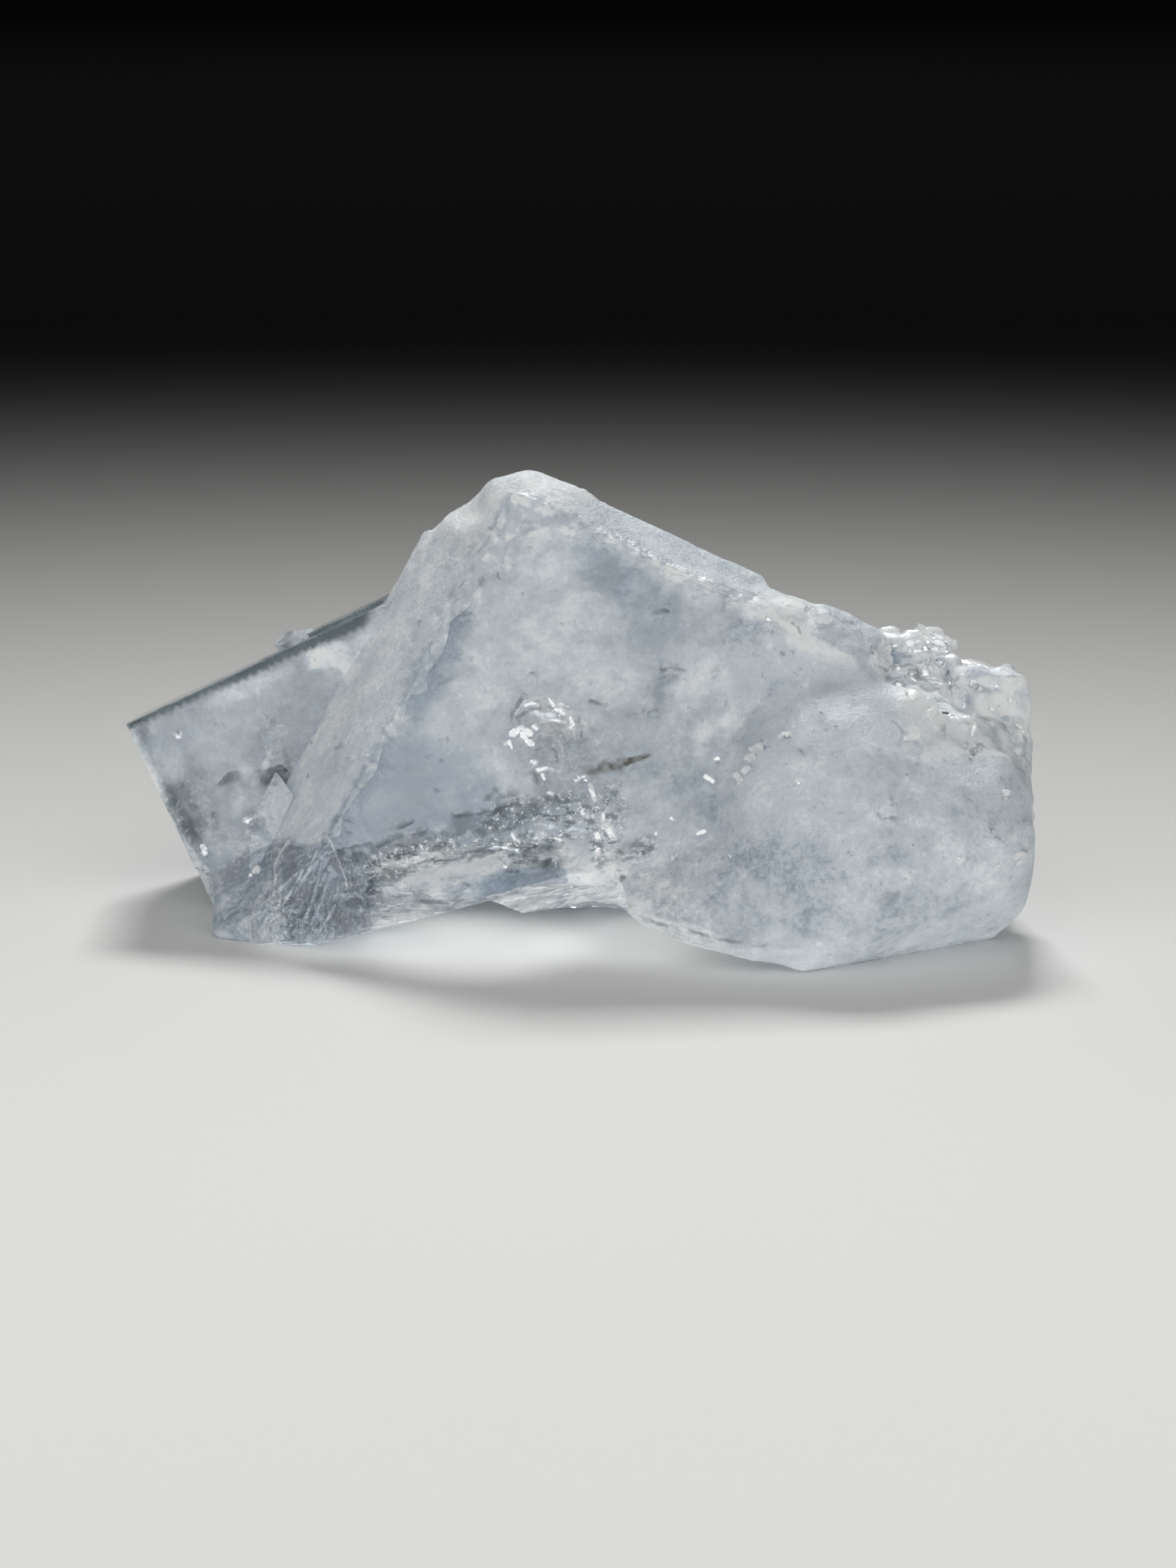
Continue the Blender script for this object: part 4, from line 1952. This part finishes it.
def scattered_gaps(count: int, low: Triple, high: Triple, size: Pair, seed: int) -> list[Gap]:
    """Scatters small gaps in a box of the main crystal's frame.

    Args:
        count: How many.
        low: The box's low corner.
        high: The box's high corner.
        size: Smallest and largest half width.
        seed: Seed of their places.

    Returns:
        The gaps.
    """
    chance = np.random.default_rng(seed)
    gaps = []
    for index in range(count):
        middle = chance.uniform(low, high)
        radius = chance.uniform(*size)
        turn = (chance.uniform(-60, 60), chance.uniform(-60, 60), chance.uniform(0, 180))
        radii = (radius, radius * chance.uniform(0.4, 1.0))
        gaps.append(Gap(tuple(middle), radii, turn, dome=0.15 * radius, ripple=0.02, grain=0.3,
                        detail=2, seed=index + 3, thickness=0.02))
    return gaps


INNER_GAPS = (
    Gap((11.0, -11.2, -0.9), (1.9, 1.5), (-35, 12, 20), dome=0.7, ripple=0.10, grain=0.55, seed=2),
    Gap((12.2, -12.6, -1.7), (1.7, 2.4), (20, -25, 10), dome=0.5, ripple=0.12, grain=0.7, seed=3),
    Gap((13.2, -14.6, -1.4), (1.9, 1.2), (35, 10, 35), dome=0.3, ripple=0.12, grain=0.5, seed=4),
    *scattered_gaps(46, (5.5, -16.0, -5.5), (21.0, -4.2, -0.6), (0.10, 0.32), 11),
)


# ---- Stage, lights and camera -------------------------------------------------------------


def hang(data: bpy.types.Light, place: Vector, aim: Vector) -> Piece:
    """Hangs a light at a place and points it at its aim, both in metres."""
    light = bpy.data.objects.new(data.name, data)
    light.location = place
    light.rotation_euler = (aim - light.location).to_track_quat("-Z", "Y").to_euler()
    bpy.context.scene.collection.objects.link(light)
    return light


@dataclass(frozen=True)
class SoftLight:
    """A large soft area light.

    Attributes:
        name: Its name.
        place: Where it hangs.
        size: Its width and height.
        power: Watts.
        aim: Where it points.
    """

    name: str
    place: Triple
    size: Pair
    power: float
    aim: Triple = (0.0, 0.0, 8.0)

    def build(self) -> Piece:
        """Hangs the light and points it at its aim."""
        data = bpy.data.lights.new(self.name, "AREA")
        data.shape = "RECTANGLE"
        data.size = self.size[0] * MM
        data.size_y = self.size[1] * MM
        data.energy = self.power
        return hang(data, Vector(self.place) * MM, Vector(self.aim) * MM)


def link_light(light: Piece, lit: list[Piece], passed: list[Piece]) -> None:
    """Lets a light reach some pieces alone and pass through others.

    Args:
        light: The light.
        lit: The only pieces that it lights.
        passed: The pieces that cast no shadow from it.
    """
    receivers = bpy.data.collections.new(light.name + "_lit")
    for piece in lit:
        receivers.objects.link(piece)
    light.light_linking.receiver_collection = receivers
    blockers = bpy.data.collections.new(light.name + "_passed")
    for piece in passed:
        blockers.objects.link(piece)
    for entry in blockers.collection_objects:
        entry.light_linking.link_state = "EXCLUDE"
    light.light_linking.blocker_collection = blockers


@dataclass(frozen=True)
class LightPool:
    """A pool of light on the floor, such as a clear crystal gathers under itself.

    Attributes:
        name: Its name.
        aim: Its middle on the floor.
        width: Its width across.
        power: Watts.
        height: How high above it the lamp hangs.
        behind: How far behind it the lamp hangs, as a share of that height.
        blend: Softness of its edge, from 0 to 1.
    """

    name: str
    aim: Pair
    width: float
    power: float
    height: float = 90.0
    behind: float = 0.4
    blend: float = 0.9

    def build(self) -> Piece:
        """Hangs the lamp."""
        data = bpy.data.lights.new(self.name, "SPOT")
        aim = Vector((*self.aim, 0.0)) * MM
        place = aim + Vector((0.0, self.behind * self.height, self.height)) * MM
        data.spot_size = 2 * math.atan(self.width / 2 * MM / (place - aim).length)
        data.spot_blend = self.blend
        data.shadow_soft_size = 1 * MM
        data.energy = self.power
        return hang(data, place, aim)


@dataclass(frozen=True)
class PaleFloor:
    """The finish of the floor: plain and pale, fading to dark around a middle.

    Attributes:
        tint: Its colour.
        dark_tint: The colour that it fades to.
        roughness: Its roughness.
        fade_centre: The middle of the fade.
        fade_start: Distance from the middle where the fade starts.
        fade_end: Distance from the middle where it is dark.
        fade_bend: How early it darkens, as a power.
    """

    tint: Triple = (0.78, 0.78, 0.765)
    dark_tint: Triple = (0.003, 0.003, 0.003)
    roughness: float = 0.6
    fade_centre: Pair = (0.0, -60.0)
    fade_start: float = 15.0
    fade_end: float = 356.0
    fade_bend: float = 2.3

    def build(self) -> bpy.types.Material:
        """Builds the material."""
        nodes = Nodes("pale_floor")
        shader = nodes.add("BsdfPrincipled")
        shader.inputs["Roughness"].default_value = self.roughness
        shader.inputs["Specular IOR Level"].default_value = 0.0
        mapping = nodes.add("Mapping")
        x, y = self.fade_centre
        mapping.inputs["Location"].default_value = (-x * MM, -y * MM, 0.0)
        nodes.link(nodes.place(), mapping.inputs["Vector"])
        length = nodes.add("VectorMath", operation="LENGTH")
        nodes.link(mapping.outputs["Vector"], length.inputs[0])
        left = nodes.ramp(length.outputs["Value"], self.fade_start * MM, self.fade_end * MM, 1.0, 0.0)
        left = nodes.maths("POWER", left, self.fade_bend)
        nodes.link(nodes.blend(left, self.dark_tint, self.tint), shader.inputs["Base Color"])
        nodes.link(shader.outputs["BSDF"], nodes.output.inputs["Surface"])
        return nodes.material


@dataclass
class Stage:
    """The plain pale floor, its fade to dark, and the soft studio light.

    Attributes:
        floor_reach: How far the floor reaches each way.
        floor_finish: What the floor is made of.
        glow_towards: The way to the middle of the glow around the stage.
        glow_edge: Cosine of the angle from it at which the glow has faded.
        glow_strength: The glow's strength in its middle.
        glow_least: The glow's strength where it has faded.
        lights: The lights that reach everything.
        from_below: The light that reaches the crystals alone, through the floor.
        pools: The pools of light around the crystals' foot, on the floor alone.
    """

    floor_reach: float = 4000.0
    floor_finish: PaleFloor = PaleFloor()
    glow_towards: Triple = (0.0, -0.9, 0.43)
    glow_edge: float = -0.1
    glow_strength: float = 0.95
    glow_least: float = 0.0016
    lights: tuple[SoftLight, ...] = (
        SoftLight("key_behind", (-10, 1000, 1040), (380, 252), 16.2),
        SoftLight("sparkle_left", (-180, -360, 260), (16, 16), 0.016),
        SoftLight("sparkle_right", (160, -340, 330), (14, 14), 0.012),
    )
    from_below: SoftLight = SoftLight("from_below", (6, -34, -60), (90, 60), 0.022, aim=(2, -4, 4))
    pools: tuple[LightPool, ...] = (
        LightPool("pool_middle", (-4.6, -5.6), 13.0, 0.17),
        LightPool("pool_right", (2.6, -4.6), 10.0, 0.08),
        LightPool("pool_left", (-11.5, -5.0), 8.0, 0.10),
    )

    def build(self, crystals: Piece) -> None:
        """Builds the floor, the world and the lights around the crystals."""
        floor = self.floor()
        self.world()
        for light in self.lights:
            light.build()
        link_light(self.from_below.build(), [crystals], [floor])
        for pool in self.pools:
            link_light(pool.build(), [floor], [crystals])

    def floor(self) -> Piece:
        """Lays the floor and marks it as stage."""
        bpy.ops.mesh.primitive_plane_add(size=2 * self.floor_reach * MM, location=(0, 0, 0))
        floor = bpy.context.active_object
        floor.name = "floor"
        floor.data.materials.append(self.floor_finish.build())
        return floor

    def world(self) -> None:
        """Surrounds the stage with a soft glow from the front that fades to dark behind."""
        world = bpy.data.worlds.new("studio_glow")
        world.use_nodes = True
        tree = world.node_tree
        place = tree.nodes.new("ShaderNodeTexCoord")
        towards = tree.nodes.new("ShaderNodeVectorMath")
        towards.operation = "DOT_PRODUCT"
        towards.inputs[1].default_value = Vector(self.glow_towards).normalized()
        rise = tree.nodes.new("ShaderNodeMapRange")
        rise.interpolation_type = "SMOOTHSTEP"
        for name, number in (("From Min", self.glow_edge), ("From Max", 1.0),
                             ("To Min", self.glow_least), ("To Max", self.glow_strength)):
            rise.inputs[name].default_value = number
        background = tree.nodes["Background"]
        background.inputs["Color"].default_value = (1, 1, 1, 1)
        tree.links.new(place.outputs["Generated"], towards.inputs[0])
        tree.links.new(towards.outputs["Value"], rise.inputs["Value"])
        tree.links.new(rise.outputs["Result"], background.inputs["Strength"])
        bpy.context.scene.world = world
        bpy.context.scene.view_settings.view_transform = "Standard"


@dataclass(frozen=True)
class Viewpoint:
    """The camera.

    Attributes:
        aim: Where it points.
        distance: How far it is from there.
        elevation: How high it stands above the aim's level, in degrees.
        lens: Its focal length.
        sensor: The width of its sensor.
        near: The nearest that it sees.
        far: The farthest that it sees.
    """

    aim: Triple = (0.706, -5.096, 7.61)
    distance: float = 170.0
    elevation: float = 13.0
    lens: float = 85.0
    sensor: float = 36.0
    near: float = 1.0
    far: float = 10000.0

    def build(self) -> None:
        """Adds the camera and makes it the scene's."""
        data = bpy.data.cameras.new("camera")
        data.lens = self.lens
        data.sensor_width = self.sensor
        data.clip_start = self.near * MM
        data.clip_end = self.far * MM
        camera = bpy.data.objects.new("camera", data)
        up = math.radians(self.elevation)
        back = Vector((0, -math.cos(up), math.sin(up))) * self.distance
        camera.location = (Vector(self.aim) + back) * MM
        camera.rotation_euler = Euler((math.pi / 2 - up, 0, 0))
        bpy.context.scene.collection.objects.link(camera)
        bpy.context.scene.camera = camera


def main() -> None:
    """Builds the specimen and its stage."""
    logging.basicConfig(level=logging.INFO, format="%(message)s")
    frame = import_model()
    deselect_all()
    Viewpoint().build()
    crystals = CrystalGroup().build(frame["nodes"][NODE])
    Stage().build(crystals)


if __name__ == "__main__":
    main()
